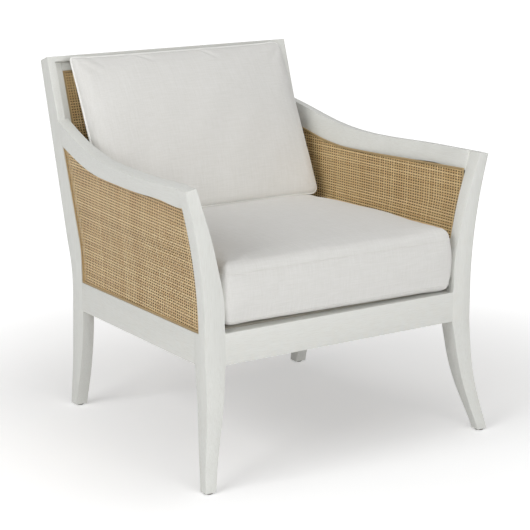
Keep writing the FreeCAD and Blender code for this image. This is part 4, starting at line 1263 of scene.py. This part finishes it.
seatPiece = makeCushion("seat_cushion_linen", seatCushion, seatLinen, "seat_cushion", "linen_cover",
                        "seat_cushion_cover", "seat_cushion_core")
backPiece = makeCushion("back_cushion_linen", backCushion, backLinen, "back_cushion", "linen_cover",
                        "back_cushion_cover", "back_cushion_core")
seams = {"belowTop": 22, "aboveLow": 14, "seatRadius": 0.9, "backRadius": 2.0}
seatSeams = {
    "upper": seatCushion["high"] - seams["belowTop"],
    "lower": seatCushion["low"] + seams["aboveLow"],
}
for label, level in seatSeams.items():
    path = seamPath(seatCushion, level)
    seam = sewnSeam(f"seat_cushion_seam_{label}", seatPiece, path, seams["seatRadius"], seatLinen)
    ride(seam, "seat_cushion", "linen_cover")
# The back seam's lighter linen is a painted highlight
seam = sewnSeam("back_cushion_seam", backPiece, seamPath(backCushion, 0), seams["backRadius"], seamHighlightLinen)
ride(seam, "back_cushion", "linen_cover")
print("cushions filled and sewn")

# Deck under the seat cushion

deckShare = {
    "corners": (4, 4, 4, 4),
    "crown": (0, 0),
    "crownPower": 1,
    "drawIn": 0,
    "bulge": 0,
    "turn": seatTilt,
    "along": 0,
    "level": chair["railTop"],
    "stands": False,
    "front": 32,
    "rear": 572,
    "halfWidth": 288,
}
deckPad = {**deckShare, "low": -8, "high": 0.25, "edge": (3, 3), "steps": (60, 60), "fill": 0.5}
deckTop = {**deckShare, "low": 0.3, "high": 1.3, "edge": (0.5, 0.5), "steps": (12, 20)}
dustSheet = {**deckShare, "low": -28.8, "high": -28, "edge": (0.4, 0.4), "steps": (12, 20), "halfWidth": 255,
             "front": 65, "rear": 539}
strap = {**deckShare, "low": -10, "high": -8, "edge": (0.9, 0.9), "corners": (2, 2, 2, 2), "steps": (5, 12),
         "halfWidth": 25}
strapRow = {"count": 6, "pitch": 290 / 3}
quilting = {"pitch": 48, "deep": 0.9, "narrow": 0.12, "downTo": -1}

# The pad's top is pressed in along two sets of slanting lines, as a bell over the sine of the way to them
points, faces = cushionBody(deckPad)
slanting = [points[:, 0] + sign * points[:, 1] for sign in (1, -1)]
farFromLine = np.minimum(*[np.abs(np.sin(np.pi * way / quilting["pitch"])) for way in slanting])
pressed = quilting["deep"] * np.exp(-(farFromLine / quilting["narrow"]) ** 2)
points[:, 2] -= np.where(points[:, 2] > quilting["downTo"], pressed, 0)
pad = newPiece("deck_pad_quilted", placed(deckPad, points), faces, deckCloth)
ride(pad, "frame", "foam", "deck_pad")


def stretchedSheet(name, look, material, slot, replaced, *carriers):
    # A cloth drawn flat over what carries it
    points, faces = cushionBody(look)
    sheet = ride(newPiece(name, placed(look, points), faces, material), "frame", slot, replaced)


stretchedSheet("deck_cloth_drawn", deckTop, deckCloth, "deck_cloth", "deck_cloth", pad)
stretchedSheet("dust_cover_drawn", dustSheet, dustCloth, "deck_cloth", "dust_cover",
               "deck_slat_front", "deck_slat_rear")

points, faces = cushionBody(strap)
offsets = (np.arange(strapRow["count"]) - (strapRow["count"] - 1) / 2) * strapRow["pitch"]
moved = points[None] + np.stack([offsets, 0 * offsets, 0 * offsets], axis=1)[:, None]
allFaces = faces[None] + (np.arange(strapRow["count"]) * len(points))[:, None, None]
straps = newPiece("webbing_woven", placed(strap, moved.reshape(-1, 3)), allFaces.reshape(-1, 3), webbing)
ride(straps, "frame", "webbing", "webbing_straps")
print("deck covered")

# Floor, light and camera

studio = {
    "floorHalf": 12,           # metres, as all lengths here but the lens and its sensor
    "floorTones": ((252, 252, 252), (249, 249, 249)),
    "floorGrain": (3, 2, 0.5),
    "floorRoughness": 0.9,
    "floorWhite": (0.45, 1.9, 0.3, 0.95),     # how far off the white starts and is full, and how white
    "worldLight": 0.27,
    "lights": {                # place, aim, size and power
        "frontLight": ((-0.6, -3.8, 1.2), (0, 0, 0.45), (3.0, 1.8), 60),
        "leftLight": ((-3.4, -0.6, 2.4), (0, 0, 0.45), (2.4, 1.8), 54),
        "topLight": ((0.2, -0.1, 2.7), (0.05, 0, 0), (1.0, 1.0), 9),
    },
    "azimuth": -33.4,
    "elevation": 14.0,
    "lens": 118.4,
    "sensor": 36,
    "camera": (-2.0654, -3.1801, 1.2905),
}


def seenRay(tree):
    # 1 for a ray of the camera or of a mirror, 0 for one that only brings light
    rays = node(tree, "ShaderNodeLightPath").outputs
    return maths(tree, "ADD", rays["Is Camera Ray"], rays["Is Glossy Ray"], clamp=True)


def makeFloor():
    # The white of the backdrop grows with the distance from the chair, and leaves its shadow near it
    points = studio["floorHalf"] * np.array([[-1, -1, 0], [1, -1, 0], [1, 1, 0], [-1, 1, 0]], float)
    dull = {"Specular IOR Level": 0}
    material, tree, principled = newMaterial("paleFloor", studio["floorRoughness"], **dull)
    paint(tree, principled, noise(tree, place(tree), *studio["floorGrain"]), *studio["floorTones"])
    reach = node(tree, "ShaderNodeVectorMath", operation="LENGTH")
    link(tree, place(tree), reach.inputs[0])
    grow = node(tree, "ShaderNodeMapRange", interpolation_type="SMOOTHSTEP")
    link(tree, reach.outputs["Value"], grow.inputs["Value"])
    for label, value in zip(("From Min", "From Max", "To Min", "To Max"), studio["floorWhite"]):
        grow.inputs[label].default_value = value
    white = node(tree, "ShaderNodeEmission")
    link(tree, maths(tree, "MULTIPLY", seenRay(tree), grow.outputs["Result"]), white.inputs["Strength"])
    both = node(tree, "ShaderNodeAddShader")
    link(tree, principled.outputs[0], both.inputs[0])
    link(tree, white.outputs[0], both.inputs[1])
    link(tree, both.outputs[0], tree.nodes["Material Output"].inputs["Surface"])
    floor = newPiece("floor", points, np.array([[0, 1, 2, 3]]), material)


def makeWorld():
    # White where it is seen, and dimmer where it only lights
    world = bpy.data.worlds.new("studio")
    bpy.context.scene.world = world
    world.use_nodes = True
    tree = world.node_tree
    background = tree.nodes["Background"]
    dim = studio["worldLight"]
    link(tree, maths(tree, "MULTIPLY_ADD", seenRay(tree), 1 - dim, dim), background.inputs["Strength"])
    background.inputs["Color"].default_value = (1, 1, 1, 1)


def areaLight(name, at, aim, size, power):
    data = bpy.data.lights.new(name, "AREA")
    data.shape = "RECTANGLE"
    data.size, data.size_y = size
    data.energy = power
    lamp = addObject(name, data)
    lamp.location = at
    lamp.rotation_euler = (Vector(aim) - Vector(at)).to_track_quat("-Z", "Y").to_euler()


def makeCamera():
    data = bpy.data.cameras.new("camera")
    data.lens = studio["lens"]
    data.sensor_width = studio["sensor"]
    camera = addObject("camera", data)
    camera.location = studio["camera"]
    camera.rotation_euler = (math.radians(90 - studio["elevation"]), 0, math.radians(studio["azimuth"]))
    bpy.context.scene.camera = camera


makeFloor()
makeWorld()
for name, light in studio["lights"].items():
    areaLight(name, *light)
makeCamera()
bpy.context.scene.view_settings.view_transform = "Standard"
print("studio set")
